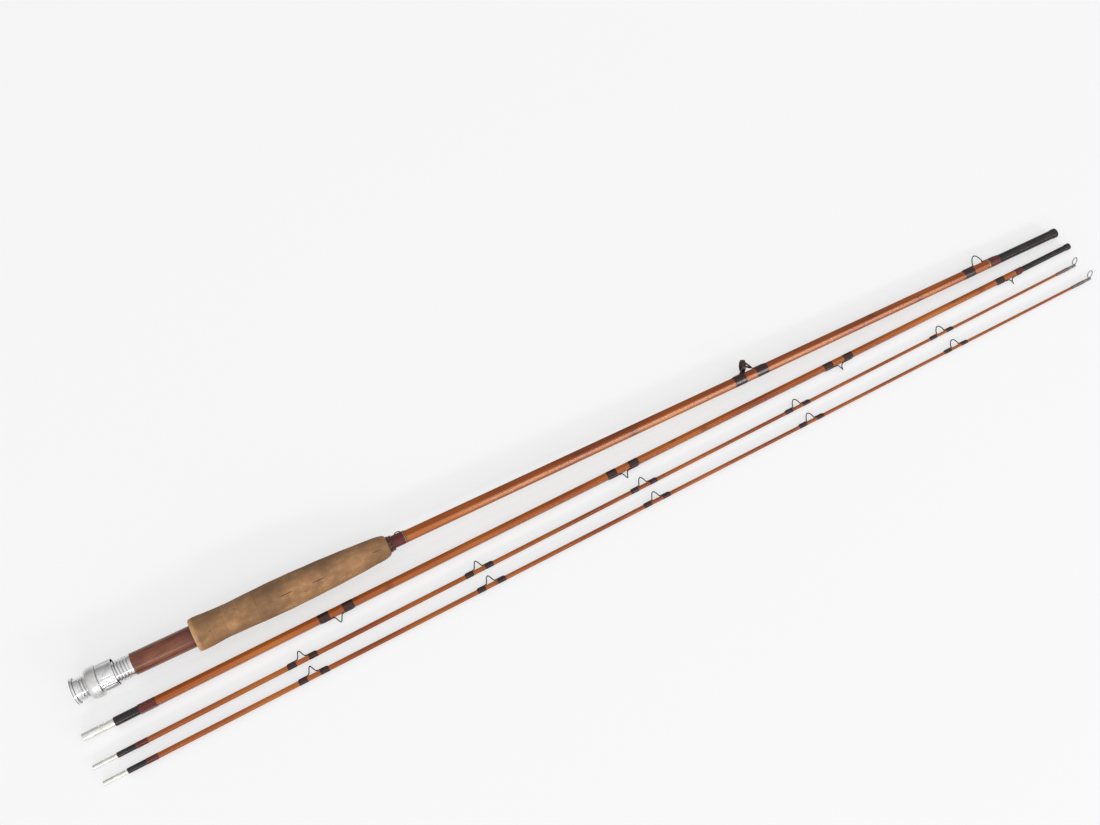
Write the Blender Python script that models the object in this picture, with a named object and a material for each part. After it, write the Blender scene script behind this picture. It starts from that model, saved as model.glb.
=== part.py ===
"""Split-cane fly rod: a butt, a middle and two tips, taken down and laid side by side on a table.

Each section is drawn along its own +X from its butt end, with its guides on its +Z side. An
empty then lays the finished section on the table. All lengths are in metres.
"""

import math
from dataclasses import dataclass

import bmesh
import bpy
import numpy as np
from mathutils import Matrix, Vector

# Fits between pieces, as radial clearances
GLUE_FIT = 0.00008
SLIDE_FIT = 0.0003
FERRULE_FIT = 0.00005
END_GAP = 0.0003
BUTTED_GAP = 0.0001

# Cane blanks: distance across the flats at the ends that have no ferrule, and the height of a
# ferrule's surface above the flats beside it
BUTT_REAR_FLAT = 0.0102
TIP_END_FLAT = 0.0022
FERRULE_PROUD = 0.00005

# Section lengths, the tip's without its tip-top
BUTT_LENGTH = 0.9191
MID_LENGTH = 0.9290
TIP_LENGTH = 0.9220

# Reel seat
CAP_FLANGE_PROUD = 0.0016
CAP_FLANGE_THICK = 0.0020
CAP_FLANGE_BEVEL = 0.0005
CAP_SKIRT_LENGTH = 0.0032
CAP_PLUG_LENGTH = 0.0055
BARREL_LENGTH = 0.0405
BARREL_CREST_RADIUS = 0.0088
BARREL_WALL = 0.00125
BARREL_COLLAR_LENGTH = 0.0018
THREAD_PITCH = 0.0024
THREAD_DEPTH = 0.00055
NUT_BACK = 0.0058
NUT_LENGTH = 0.0087
NUT_PROUD = 0.0005
NUT_DOME_LENGTH = 0.0055
NUT_REAR_LIP = 0.0010
HOOD_LENGTH = 0.0120
HOOD_ROOM = 0.0021
HOOD_BACK_ROOM = 0.0004
HOOD_POCKET = math.radians(40)
HOOD_BLEND = math.radians(12)
HOOD_WALL = 0.0009
HOOD_WEB = 0.0030
HOOD_FLUTES = 12
HOOD_FLUTE_PITCH = math.radians(15)
HOOD_FLUTE_DEPTH = 0.0003
SPACER_RADIUS = 0.0087
SPACER_LENGTH = 0.0478
FOOT_ROOM = 0.0023
FIXED_HOOD_LENGTH = 0.0135
FIXED_HOOD_WALL = 0.0007
FIXED_HOOD_POCKET = math.radians(34)
FIXED_HOOD_BLEND = math.radians(14)

# Cork grip: distance of each turning point of its outline from the rear face, and its height above
# the recess for the fixed hood
GRIP_LENGTH = 0.1603
GRIP_REAR_RISE = 0.0007
GRIP_LIP_PLACE = 0.0040
GRIP_LIP_RISE = 0.0012
GRIP_WAIST_PLACE = 0.0240
GRIP_WAIST_RISE = 0.00035
GRIP_SWELL_PLACE = 0.0680
GRIP_SWELL_RISE = 0.0012
GRIP_NOSE_LENGTH = 0.0132
GRIP_NOSE_RISE = -0.0018
GRIP_FRONT_STEP = 0.0004
CHECK_LENGTH = 0.0040
CHECK_WALL = 0.0013
CHECK_TAPER = 0.0005

# Hook keeper: a small wire loop bound down just ahead of the grip
KEEPER_WIRE = 0.0004
KEEPER_SPAN = 0.0050
KEEPER_HEIGHT = 0.0020
KEEPER_FOOT = 0.0022
KEEPER_BACK = 0.0034
KEEPER_WRAP_LENGTH = 0.0115

# Ferrules
MID_SLIDE_RADIUS = 0.00330
MID_SLIDE_LENGTH = 0.0246
MID_MALE_BODY_LENGTH = 0.0191
TIP_SLIDE_RADIUS = 0.001875
TIP_SLIDE_LENGTH = 0.0186
TIP_MALE_BODY_LENGTH = 0.0142
MALE_STEP = 0.0003
FEMALE_WALL = 0.00065
SOCKET_SHELL = 0.00045
BUTT_FEMALE_LENGTH = 0.0653
MID_FEMALE_LENGTH = 0.0543
FEMALE_WEB = 0.0020
WELT_LENGTH = 0.0042
WELT_HEIGHT = 0.00025
MALE_SOCKET_DEPTH = 0.012

# Thread wraps
WRAP_THICK = 0.00020
BUTT_FERRULE_WRAP = 0.0116
MID_FERRULE_WRAP = 0.0091
MID_MALE_WRAP = 0.0131
TIP_MALE_WRAP = 0.0090
TIP_TOP_WRAP = 0.0133

# Guides: the feet lie along the cane, and their wire is drawn down to this radius
FOOT_RADIUS = 0.00030
FOOT_TAPER = 0.8
LOOP_PEAK = 2.6
STRIPPER_PLACE = 0.5906
STRIPPER_GAP = 0.0106
STRIPPER_WRAP = 0.0112
STRIPPER_FOOT = 0.0085
STRIPPER_BEZEL_RADIUS = 0.0054
STRIPPER_BEZEL_WALL = 0.0008
STRIPPER_BEZEL_DEPTH = 0.0020
STRIPPER_STAND = 0.0004
STRIPPER_LEAN = math.radians(24)
STRIPPER_RING_WALL = 0.0008
STRIPPER_RING_DEPTH = 0.0014
STRIPPER_RING_BEVEL = 0.00027
STRIPPER_LEG_RADIUS = 0.00055
STRIPPER_LEG_SPREAD = math.radians(70)
STRIPPER_LEG_END = 0.00027
STRIPPER_BACK_LEG_RADIUS = 0.0006
STRIPPER_BACK_LEG_RISE = 0.0006
STRIPPER_RING_SETBACK = 0.0021
MID_GUIDE_PLACES = (0.2034, 0.4597, 0.6740)
TIP_FIRST_GUIDE = 0.1660
TIP_GUIDE_SPACING = 0.1514
TIP_GUIDE_COUNT = 5
TIP_TOP_TUBE = 0.0145
TIP_TOP_TENON_RADIUS = 0.00095
TIP_TOP_WALL = 0.00028
TIP_TOP_RING_RADIUS = 0.0032
TIP_TOP_RING_WIRE = 0.0004
TIP_TOP_RING_LEAN = math.radians(50)

# Laying out: each section's butt end on the table and its heading, measured from the butt section,
# and how far its guides point up from level
MID_PLACE = (-0.0071, -0.0316)
MID_HEADING = math.radians(0.901)
TIP_A_PLACE = (-0.0074, -0.0554)
TIP_A_HEADING = math.radians(1.216)
TIP_B_PLACE = (-0.0042, -0.0697)
TIP_B_HEADING = math.radians(1.022)
BUTT_GUIDES_UP = math.radians(15)
MID_GUIDES_UP = math.radians(-3)
TIP_GUIDES_UP = math.radians(22)
TABLE_GAP = 0.00005

# Fineness of the round shapes
ROUND_SIDES = 24
GRIP_SIDES = 32
BLANK_SIDES = 12
WIRE_SIDES = 6
LOOP_STEPS = 14
LOOP_EASE = math.radians(60)
KEEPER_STEPS = 7
DOME_STEPS = 4
GRIP_STEPS = 4
THREAD_STATIONS = 3
FLUTE_POINTS = 3
SMOOTH_BELOW = math.radians(35)

# Finish name: colour, roughness, metallic
FINISHES = {
    "varnished_cane": ((0.42, 0.16, 0.055), 0.22, 0.0),
    "cork": ((0.40, 0.26, 0.14), 0.85, 0.0),
    "bright_aluminium": ((0.80, 0.81, 0.82), 0.28, 1.0),
    "resin_spacer": ((0.20, 0.055, 0.035), 0.25, 0.0),
    "black_ferrule": ((0.040, 0.040, 0.042), 0.40, 0.6),
    "maroon_thread": ((0.11, 0.035, 0.028), 0.30, 0.0),
    "dark_thread": ((0.060, 0.036, 0.028), 0.30, 0.0),
    "guide_steel": ((0.16, 0.17, 0.19), 0.35, 1.0),
    "check_horn": ((0.05, 0.03, 0.02), 0.35, 0.0),
    "stripper_ring": ((0.10, 0.055, 0.04), 0.15, 0.0),
}


@dataclass(frozen=True)
class Cane:
    """A six-sided cane blank that tapers evenly between two places with given half flats."""

    start: float
    rear: float
    end: float
    front: float

    def half_flat(self, x):
        """Distance from the axis to a flat."""
        return self.rear + (self.front - self.rear) * (x - self.start) / (self.end - self.start)

    def corner(self, x):
        """Distance from the axis to a corner."""
        return self.half_flat(x) / math.cos(math.pi / 6)


@dataclass(frozen=True)
class SnakeSize:
    """A snake guide: one turn of wire with a foot at each end, and the wraps that bind it."""

    height: float
    half_width: float
    span: float
    wire: float
    gap: float
    wrap: float
    foot: float


BUTT_SNAKE = SnakeSize(
    height=0.0085, half_width=0.0025, span=0.0106, wire=0.0005, gap=0.0158, wrap=0.0111, foot=0.0085,
)
MID_SNAKE = SnakeSize(
    height=0.0063, half_width=0.0021, span=0.0078, wire=0.00045, gap=0.0115, wrap=0.0090, foot=0.0068,
)
TIP_SNAKE = SnakeSize(
    height=0.0063, half_width=0.0022, span=0.0080, wire=0.00045, gap=0.0104, wrap=0.0072, foot=0.0055,
)

# Places along the butt section, worked out from its rear face
SKIRT_FRONT = CAP_FLANGE_THICK + CAP_SKIRT_LENGTH
BARREL_FRONT = SKIRT_FRONT + BARREL_LENGTH
PLUG_FRONT = SKIRT_FRONT + CAP_PLUG_LENGTH
NUT_REAR = SKIRT_FRONT + NUT_BACK
HOOD_REAR = NUT_REAR + NUT_LENGTH + END_GAP
GRIP_REAR = BARREL_FRONT + SPACER_LENGTH
FIXED_HOOD_FRONT = GRIP_REAR + FIXED_HOOD_LENGTH
GRIP_FRONT = GRIP_REAR + GRIP_LENGTH
KEEPER_WRAP_REAR = GRIP_FRONT + CHECK_LENGTH + 2 * END_GAP

# Ends of the bare cane on each section
BUTT_SHOULDER = BUTT_LENGTH - BUTT_FEMALE_LENGTH
MID_CANE_REAR = MID_SLIDE_LENGTH + MID_MALE_BODY_LENGTH
MID_SHOULDER = MID_LENGTH - MID_FEMALE_LENGTH
TIP_CANE_REAR = TIP_SLIDE_LENGTH + TIP_MALE_BODY_LENGTH

# Radii of the pieces that fit round or into one another
BARREL_BORE = BARREL_CREST_RADIUS - BARREL_WALL
PLUG_RADIUS = BARREL_BORE - GLUE_FIT
CAP_FLANGE_RADIUS = BARREL_CREST_RADIUS + CAP_FLANGE_PROUD
HOOD_BORE = BARREL_CREST_RADIUS + SLIDE_FIT
HOOD_POCKET_RADIUS = BARREL_CREST_RADIUS + HOOD_ROOM
HOOD_BACK_RADIUS = HOOD_BORE + HOOD_BACK_ROOM
HOOD_RADIUS = HOOD_POCKET_RADIUS + HOOD_WALL
HOOD_SIDES = round(math.tau / HOOD_FLUTE_PITCH) * FLUTE_POINTS
NUT_RADIUS = HOOD_RADIUS + NUT_PROUD
NUT_DOME_EDGE = HOOD_BORE + NUT_REAR_LIP
FIXED_HOOD_BORE = SPACER_RADIUS + SLIDE_FIT
GRIP_RECESS = FIXED_HOOD_BORE + FOOT_ROOM + FIXED_HOOD_WALL + GLUE_FIT
GRIP_SWELL_RADIUS = GRIP_RECESS + GRIP_SWELL_RISE
BUTT_FEMALE_RADIUS = MID_SLIDE_RADIUS + FERRULE_FIT + FEMALE_WALL
MID_FEMALE_RADIUS = TIP_SLIDE_RADIUS + FERRULE_FIT + FEMALE_WALL
MID_MALE_RADIUS = MID_SLIDE_RADIUS + MALE_STEP
TIP_MALE_RADIUS = TIP_SLIDE_RADIUS + MALE_STEP

# Blanks, as thick at each ferrule as that ferrule asks
BUTT_CANE = Cane(0, BUTT_REAR_FLAT / 2, BUTT_SHOULDER, BUTT_FEMALE_RADIUS - FERRULE_PROUD)
MID_CANE = Cane(
    MID_CANE_REAR, MID_MALE_RADIUS - FERRULE_PROUD, MID_SHOULDER, MID_FEMALE_RADIUS - FERRULE_PROUD,
)
TIP_CANE = Cane(TIP_CANE_REAR, TIP_MALE_RADIUS - FERRULE_PROUD, TIP_LENGTH, TIP_END_FLAT / 2)
CHECK_REAR_RADIUS = BUTT_CANE.corner(GRIP_FRONT) + CHECK_WALL
TIP_TOP_BORE = TIP_TOP_TENON_RADIUS + GLUE_FIT
TIP_TOP_RADIUS = TIP_TOP_BORE + TIP_TOP_WALL


def finish_material(name):
    """The Principled material of one finish, made the first time it is asked for."""
    if name in bpy.data.materials:
        return bpy.data.materials[name]
    colour, roughness, metallic = FINISHES[name]
    material = bpy.data.materials.new(name)
    material.use_nodes = True
    shader = material.node_tree.nodes["Principled BSDF"]
    shader.inputs["Base Color"].default_value = (*colour, 1.0)
    shader.inputs["Roughness"].default_value = roughness
    shader.inputs["Metallic"].default_value = metallic
    return material


def add_empty(name, parent=None, location=(0, 0, 0)):
    """An empty that carries pieces."""
    empty = bpy.data.objects.new(name, None)
    bpy.context.scene.collection.objects.link(empty)
    empty.parent = parent
    empty.location = location
    return empty


def loft(name, rings, parent, finish, closed=False):
    """A solid skinned over rings of points.

    The first and last rings are capped. With closed set, the last ring joins the first instead,
    which makes a hollow sleeve.
    """
    shape = bmesh.new()
    loops = [[shape.verts.new(point) for point in ring] for ring in rings]
    sides = len(loops[0])
    pairs = list(zip(loops, loops[1:]))
    if closed:
        pairs.append((loops[-1], loops[0]))
    else:
        shape.faces.new(loops[0])
        shape.faces.new(loops[-1])
    for near, far in pairs:
        for i in range(sides):
            j = (i + 1) % sides
            shape.faces.new((near[i], near[j], far[j], far[i]))
    bmesh.ops.recalc_face_normals(shape, faces=shape.faces[:])
    mesh = bpy.data.meshes.new(name)
    shape.to_mesh(mesh)
    shape.free()
    mesh.shade_smooth()
    mesh.set_sharp_from_angle(angle=SMOOTH_BELOW)
    mesh.materials.append(finish_material(finish))
    piece = bpy.data.objects.new(name, mesh)
    bpy.context.scene.collection.objects.link(piece)
    piece.parent = parent
    return piece


def boolean(piece, other, operation):
    """Joins another solid to a piece, or cuts it away, and hides that other solid."""
    other.hide_render = True
    other.display_type = "WIRE"
    modifier = piece.modifiers.new(other.name, "BOOLEAN")
    modifier.operation = operation
    modifier.object = other


def polar(x, radius, angle):
    """A point at a distance from the section's axis, with the angle counted from the guide side."""
    return Vector((x, radius * math.sin(angle), radius * math.cos(angle)))


def circle(x, radius, sides=ROUND_SIDES):
    """A ring of points round the axis."""
    return [polar(x, radius, math.tau * i / sides) for i in range(sides)]


def turned(name, outline, parent, finish, closed=False, sides=ROUND_SIDES):
    """A solid turned about the axis from an outline of (x, radius) points."""
    return loft(name, [circle(x, radius, sides) for x, radius in outline], parent, finish, closed)


def hexagon(x, half_flat):
    """The six corners and six flat middles of a hexagon, with one flat facing the guide side."""
    corner = half_flat / math.cos(math.pi / 6)
    reaches = [corner if i % 2 else half_flat for i in range(BLANK_SIDES)]
    return [polar(x, reach, math.tau * i / BLANK_SIDES) for i, reach in enumerate(reaches)]


def wire(name, path, radii, parent, finish):
    """A round wire along a path, with a radius at each of its points."""
    before = [path[0]] + path[:-1]
    after = path[1:] + [path[-1]]
    side = None
    rings = []
    for point, radius, near, far in zip(path, radii, before, after):
        along = (far - near).normalized()
        side = along.orthogonal() if side is None else side
        side = (side - along * side.dot(along)).normalized()
        up = along.cross(side)
        turns = [math.tau * i / WIRE_SIDES for i in range(WIRE_SIDES)]
        rings.append([point + (side * math.cos(a) + up * math.sin(a)) * radius for a in turns])
    return loft(name, rings, parent, finish)


def cane_blank(name, cane, ends, tenons, parent):
    """A six-sided blank between two x places, with a round tenon (length, radius) at each end, if any."""
    start, end = ends
    rear, front = tenons
    rings = []
    if rear:
        rings += [circle(start - rear[0], rear[1], BLANK_SIDES), circle(start, rear[1], BLANK_SIDES)]
    rings += [hexagon(start, cane.half_flat(start)), hexagon(end, cane.half_flat(end))]
    if front:
        rings += [circle(end, front[1], BLANK_SIDES), circle(end + front[0], front[1], BLANK_SIDES)]
    return loft(name, rings, parent, "varnished_cane")


def bound_section(cane, x, grow):
    """The outline that thread takes over the six-sided cane and a guide foot on its guide side."""
    corner = cane.corner(x) + grow / math.cos(math.pi / 6)
    ring = [polar(x, corner, math.pi * (2 * i + 1) / 6) for i in range(6)]
    top = cane.half_flat(x) + 2 * GLUE_FIT + 2 * FOOT_RADIUS + grow
    half = FOOT_RADIUS + grow
    return ring + [Vector((x, -half, top)), Vector((x, half, top))]


def bare_section(cane, x, grow):
    """The outline that thread takes over the bare cane."""
    corner = cane.corner(x) + grow / math.cos(math.pi / 6)
    return [polar(x, corner, math.pi * (2 * i + 1) / 6) for i in range(6)]


def wrap(name, cane, start, end, parent, finish="dark_thread", section=bound_section):
    """A thin sleeve of thread on the cane between two x places."""
    inner = GLUE_FIT
    outer = GLUE_FIT + WRAP_THICK
    rings = [
        section(cane, start, inner),
        section(cane, start, outer),
        section(cane, end, outer),
        section(cane, end, inner),
    ]
    return loft(name, rings, parent, finish, closed=True)


def foot_run(cane, toe, edge, heel, radius):
    """Points and radii of a foot on the cane's guide side.

    The foot is drawn down as far as the edge of its wrap, and swells to the wire's radius at its heel.
    """
    places = (toe, edge, heel)
    radii = (FOOT_RADIUS * FOOT_TAPER, FOOT_RADIUS, radius)
    rises = (FOOT_RADIUS, FOOT_RADIUS, radius)
    points = [Vector((x, 0, cane.half_flat(x) + GLUE_FIT + rise)) for x, rise in zip(places, rises)]
    return points, list(radii)


def smooth(share):
    """A share from 0 to 1, eased at both ends."""
    return share * share * (3 - 2 * share)


def looped_wire(name, cane, crest, size, parent):
    """A guide of one piece of wire: a foot, one turn that stands off the cane, and a second foot.

    Seen along the rod the turn is an oval that starts and ends on the cane, drawn in towards its
    crest. It is eased in beside each foot, so that the wire leaves the foot in line with the rod.
    """
    half_span = size.span / 2
    half_gap = size.gap / 2
    rise = size.height - 2 * size.wire
    turn = []
    for step in range(1, LOOP_STEPS):
        angle = math.tau * step / LOOP_STEPS
        ease = smooth(min(1.0, min(angle, math.tau - angle) / LOOP_EASE))
        x = crest + half_span * (angle / math.pi - 1)
        y = size.half_width * math.sin(angle) * ease
        z = cane.half_flat(x) + GLUE_FIT + size.wire + rise * math.sin(angle / 2) ** LOOP_PEAK
        turn.append(Vector((x, y, z)))
    rear_edge = crest - half_gap
    front_edge = crest + half_gap
    rear, rear_radii = foot_run(cane, rear_edge - size.foot, rear_edge, crest - half_span, size.wire)
    front, front_radii = foot_run(cane, front_edge + size.foot, front_edge, crest + half_span, size.wire)
    radii = rear_radii + [size.wire] * len(turn) + front_radii[::-1]
    return wire(name, rear + turn + front[::-1], radii, parent, "guide_steel")


def snake_guide(name, cane, crest, size, parent, front_wrap=True):
    """A snake guide with the wraps that bind its feet."""
    looped_wire(f"{name}_snake_guide", cane, crest, size, parent)
    rear = crest - size.gap / 2
    front = crest + size.gap / 2
    wrap(f"{name}_rear_wrap", cane, rear - size.wrap, rear, parent)
    if front_wrap:
        wrap(f"{name}_front_wrap", cane, front, front + size.wrap, parent)


def female_ferrule(name, front, length, radius, slide_radius, slide_length, parent):
    """A blackened ferrule tube with a rolled welt at its mouth, a web inside and a socket behind it."""
    rear = front - length
    bore = slide_radius + FERRULE_FIT
    bottom = front - slide_length - END_GAP
    socket = radius - SOCKET_SHELL
    welt = front - WELT_LENGTH
    round_over = WELT_HEIGHT
    outline = [
        (bottom, bore),
        (front, bore),
        (front, radius),
        (front - round_over, radius + WELT_HEIGHT),
        (welt + round_over, radius + WELT_HEIGHT),
        (welt, radius),
        (rear, radius),
        (rear, socket),
        (bottom - FEMALE_WEB, socket),
    ]
    turned(name, outline, parent, "black_ferrule")


def male_ferrule(name, slide_radius, slide_length, body_length, parent):
    """A ferrule's bright slide with its blackened body, bored behind for the cane."""
    radius = slide_radius + MALE_STEP
    end = slide_length + body_length
    bevel = MALE_STEP / 2
    outline = [
        (0, slide_radius - bevel),
        (bevel, slide_radius),
        (slide_length, slide_radius),
        (slide_length + bevel, radius),
        (end, radius),
        (end, radius - SOCKET_SHELL),
        (end - MALE_SOCKET_DEPTH, radius - SOCKET_SHELL),
    ]
    turned(name, outline, parent, "black_ferrule")


def tenon(radius, depth):
    """Length and radius of the round cane end that fills a ferrule's socket."""
    return depth - END_GAP, radius - SOCKET_SHELL - GLUE_FIT


def butt_cap(butt):
    """The flanged end cap, whose plug closes the barrel."""
    outline = [
        (0, CAP_FLANGE_RADIUS - CAP_FLANGE_BEVEL),
        (CAP_FLANGE_BEVEL, CAP_FLANGE_RADIUS),
        (CAP_FLANGE_THICK, CAP_FLANGE_RADIUS),
        (CAP_FLANGE_THICK, BARREL_CREST_RADIUS),
        (SKIRT_FRONT, BARREL_CREST_RADIUS),
        (SKIRT_FRONT, PLUG_RADIUS),
        (PLUG_FRONT, PLUG_RADIUS),
    ]
    turned("butt_cap", outline, butt, "bright_aluminium")


def seat_barrel(butt):
    """The threaded tube: a right-hand thread that ends at a plain collar."""
    start = SKIRT_FRONT + BUTTED_GAP
    thread_end = BARREL_FRONT - BARREL_COLLAR_LENGTH
    stations = round((thread_end - start) / THREAD_PITCH * THREAD_STATIONS)
    rings = [circle(start, BARREL_BORE)]
    for x in np.linspace(start, thread_end, stations + 1):
        ring = []
        for i in range(ROUND_SIDES):
            angle = math.tau * i / ROUND_SIDES
            phase = math.tau * (x - start) / THREAD_PITCH + angle
            ring.append(polar(x, BARREL_CREST_RADIUS - THREAD_DEPTH * (1 - math.cos(phase)) / 2, angle))
        rings.append(ring)
    rings += [
        circle(thread_end + END_GAP, BARREL_CREST_RADIUS),
        circle(BARREL_FRONT, BARREL_CREST_RADIUS),
        circle(BARREL_FRONT, BARREL_BORE),
    ]
    loft("seat_barrel", rings, butt, "bright_aluminium", closed=True)


def seat_spacer(butt):
    """The spacer that the reel foot lies on, turned down to fill the barrel."""
    start = PLUG_FRONT + END_GAP
    shoulder = BARREL_FRONT + BUTTED_GAP
    bore = BUTT_CANE.corner(start) + 2 * GLUE_FIT
    outline = [
        (start, bore),
        (start, PLUG_RADIUS),
        (shoulder, PLUG_RADIUS),
        (shoulder, SPACER_RADIUS),
        (FIXED_HOOD_FRONT, SPACER_RADIUS),
        (FIXED_HOOD_FRONT, bore),
    ]
    turned("seat_spacer", outline, butt, "resin_spacer", closed=True)


def hood_ring(x, grow, groove=0):
    """A ring of the sliding hood, high over the reel foot on the guide side and grooved on its back."""
    ring = []
    for i in range(HOOD_SIDES):
        angle = math.tau * (i + 0.5) / HOOD_SIDES
        off = min(angle, math.tau - angle)
        share = min(1.0, max(0.0, (HOOD_POCKET - off) / HOOD_BLEND))
        radius = HOOD_BACK_RADIUS + (HOOD_POCKET_RADIUS - HOOD_BACK_RADIUS) * share + grow
        in_groove = i % FLUTE_POINTS == FLUTE_POINTS // 2
        on_back = math.pi - off < HOOD_FLUTES / 2 * HOOD_FLUTE_PITCH
        ring.append(polar(x, radius - groove * (in_groove and on_back), angle))
    return ring


def hood_and_nut(butt):
    """The sliding hood with the lock nut that drives it, each carried by an empty on the seat's axis."""
    hood_axis = add_empty("sliding_hood_axis", butt, (HOOD_REAR, 0, 0))
    nut_axis = add_empty("lock_nut_axis", hood_axis, (NUT_REAR - HOOD_REAR, 0, 0))
    bore = [circle(x, HOOD_BORE, HOOD_SIDES) for x in (0, HOOD_WEB)]
    hood = [
        bore[0],
        hood_ring(0, 0),
        hood_ring(HOOD_WALL, HOOD_WALL, HOOD_FLUTE_DEPTH),
        hood_ring(HOOD_LENGTH - HOOD_WALL, HOOD_WALL, HOOD_FLUTE_DEPTH),
        hood_ring(HOOD_LENGTH, HOOD_WALL),
        hood_ring(HOOD_LENGTH, 0),
        hood_ring(HOOD_WEB, 0),
        bore[1],
    ]
    loft("sliding_hood", hood, hood_axis, "bright_aluminium", closed=True)
    nut = [(0, HOOD_BORE), (0, NUT_DOME_EDGE)]
    for step in range(1, DOME_STEPS + 1):
        turn = math.pi / 2 * step / DOME_STEPS
        x = NUT_DOME_LENGTH * (1 - math.cos(turn))
        nut.append((x, NUT_DOME_EDGE + (NUT_RADIUS - NUT_DOME_EDGE) * math.sin(turn)))
    edge = NUT_LENGTH - HOOD_WALL
    nut += [(edge, NUT_RADIUS), (NUT_LENGTH, NUT_RADIUS - HOOD_WALL), (NUT_LENGTH, HOOD_BORE)]
    turned("lock_nut", nut, nut_axis, "bright_aluminium", closed=True)


def pocket_ring(x, grow):
    """A ring round the spacer that swells on the guide side, where the reel's foot goes in."""
    ring = []
    for i in range(GRIP_SIDES):
        angle = math.tau * i / GRIP_SIDES
        off = min(angle, math.tau - angle)
        share = min(1.0, max(0.0, (FIXED_HOOD_POCKET - off) / FIXED_HOOD_BLEND))
        ring.append(polar(x, FIXED_HOOD_BORE + FOOT_ROOM * share + grow, angle))
    return ring


def fixed_hood(butt):
    """The cup let into the grip's rear face that holds the front of the reel's foot."""
    start = GRIP_REAR + END_GAP
    web = FIXED_HOOD_FRONT - FIXED_HOOD_WALL
    rings = [
        pocket_ring(start, 0),
        pocket_ring(web, 0),
        circle(web, FIXED_HOOD_BORE, GRIP_SIDES),
        circle(FIXED_HOOD_FRONT, FIXED_HOOD_BORE, GRIP_SIDES),
        pocket_ring(FIXED_HOOD_FRONT, FIXED_HOOD_WALL),
        pocket_ring(start, FIXED_HOOD_WALL),
    ]
    loft("fixed_hood", rings, butt, "bright_aluminium", closed=True)


def eased(start, end, rise):
    """Places and radii that ease from one (place, radius) to another, without the first of them."""
    points = []
    for step in range(1, GRIP_STEPS + 1):
        share = step / GRIP_STEPS
        ease = rise(share)
        points.append((start[0] + (end[0] - start[0]) * share, start[1] + (end[1] - start[1]) * ease))
    return points


def cork_grip(butt):
    """The shaped cork: a flared rear lip, a waist, a long swell and a rounded front."""

    def falling(share):
        return 1 - math.sqrt(1 - share * share)

    def rounding(share):
        return math.sqrt(1 - (1 - share) ** 2)

    def drooping(share):
        return share * share

    lip = (GRIP_LIP_PLACE, GRIP_RECESS + GRIP_LIP_RISE)
    waist = (GRIP_WAIST_PLACE, GRIP_RECESS + GRIP_WAIST_RISE)
    swell = (GRIP_SWELL_PLACE, GRIP_SWELL_RADIUS)
    nose = (GRIP_LENGTH - GRIP_NOSE_LENGTH, GRIP_RECESS + GRIP_NOSE_RISE)
    front = (GRIP_LENGTH, CHECK_REAR_RADIUS + GRIP_FRONT_STEP)
    outline = [(0, GRIP_RECESS + GRIP_REAR_RISE)]
    outline += eased(outline[-1], lip, rounding)
    outline += eased(lip, waist, smooth)
    outline += eased(waist, swell, smooth)
    outline += eased(swell, nose, drooping)
    outline += eased(nose, front, falling)
    rings = [circle(GRIP_REAR + x, radius, GRIP_SIDES) for x, radius in outline]
    recess = FIXED_HOOD_FRONT + END_GAP
    bore_rear = BUTT_CANE.corner(recess) + 2 * GLUE_FIT
    bore_front = BUTT_CANE.corner(GRIP_FRONT) + 2 * GLUE_FIT
    rings += [
        circle(GRIP_FRONT, bore_front, GRIP_SIDES),
        circle(recess, bore_rear, GRIP_SIDES),
        pocket_ring(recess, FIXED_HOOD_WALL + GLUE_FIT),
        pocket_ring(GRIP_REAR, FIXED_HOOD_WALL + GLUE_FIT),
    ]
    loft("cork_grip", rings, butt, "cork", closed=True)


def winding_check(butt):
    """The ring that finishes the grip's front end."""
    start = GRIP_FRONT + END_GAP
    end = start + CHECK_LENGTH
    bore = BUTT_CANE.corner(start) + 2 * GLUE_FIT
    front = CHECK_REAR_RADIUS - CHECK_TAPER
    outline = [(start, bore), (start, CHECK_REAR_RADIUS), (end, front), (end, bore)]
    turned("winding_check", outline, butt, "check_horn", closed=True)


def keeper_path():
    """Points and radii of the hook keeper's wire."""
    start = KEEPER_WRAP_REAR + KEEPER_BACK
    end = start + KEEPER_SPAN
    rear, rear_radii = foot_run(BUTT_CANE, start - KEEPER_FOOT, start - KEEPER_WIRE, start, KEEPER_WIRE)
    front, front_radii = foot_run(BUTT_CANE, end + KEEPER_FOOT, end + KEEPER_WIRE, end, KEEPER_WIRE)
    arch = []
    for step in range(1, KEEPER_STEPS):
        angle = math.pi * step / KEEPER_STEPS
        x = (start + end) / 2 - KEEPER_SPAN / 2 * math.cos(angle)
        z = rear[-1].z + (KEEPER_HEIGHT - 2 * KEEPER_WIRE) * math.sin(angle)
        arch.append(Vector((x, 0, z)))
    return rear + arch + front[::-1], rear_radii + [KEEPER_WIRE] * len(arch) + front_radii[::-1]


def hook_keeper(butt):
    """The keeper's wire loop, and its wrap with the two holes that the loop stands through."""
    path, radii = keeper_path()
    wire("hook_keeper", path, radii, butt, "guide_steel")
    end = KEEPER_WRAP_REAR + KEEPER_WRAP_LENGTH
    binding = wrap("keeper_wrap", BUTT_CANE, KEEPER_WRAP_REAR, end, butt, "maroon_thread")
    room = wire("keeper_wrap_hole", path, [radius + GLUE_FIT for radius in radii], butt, "guide_steel")
    boolean(binding, room, "DIFFERENCE")


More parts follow.
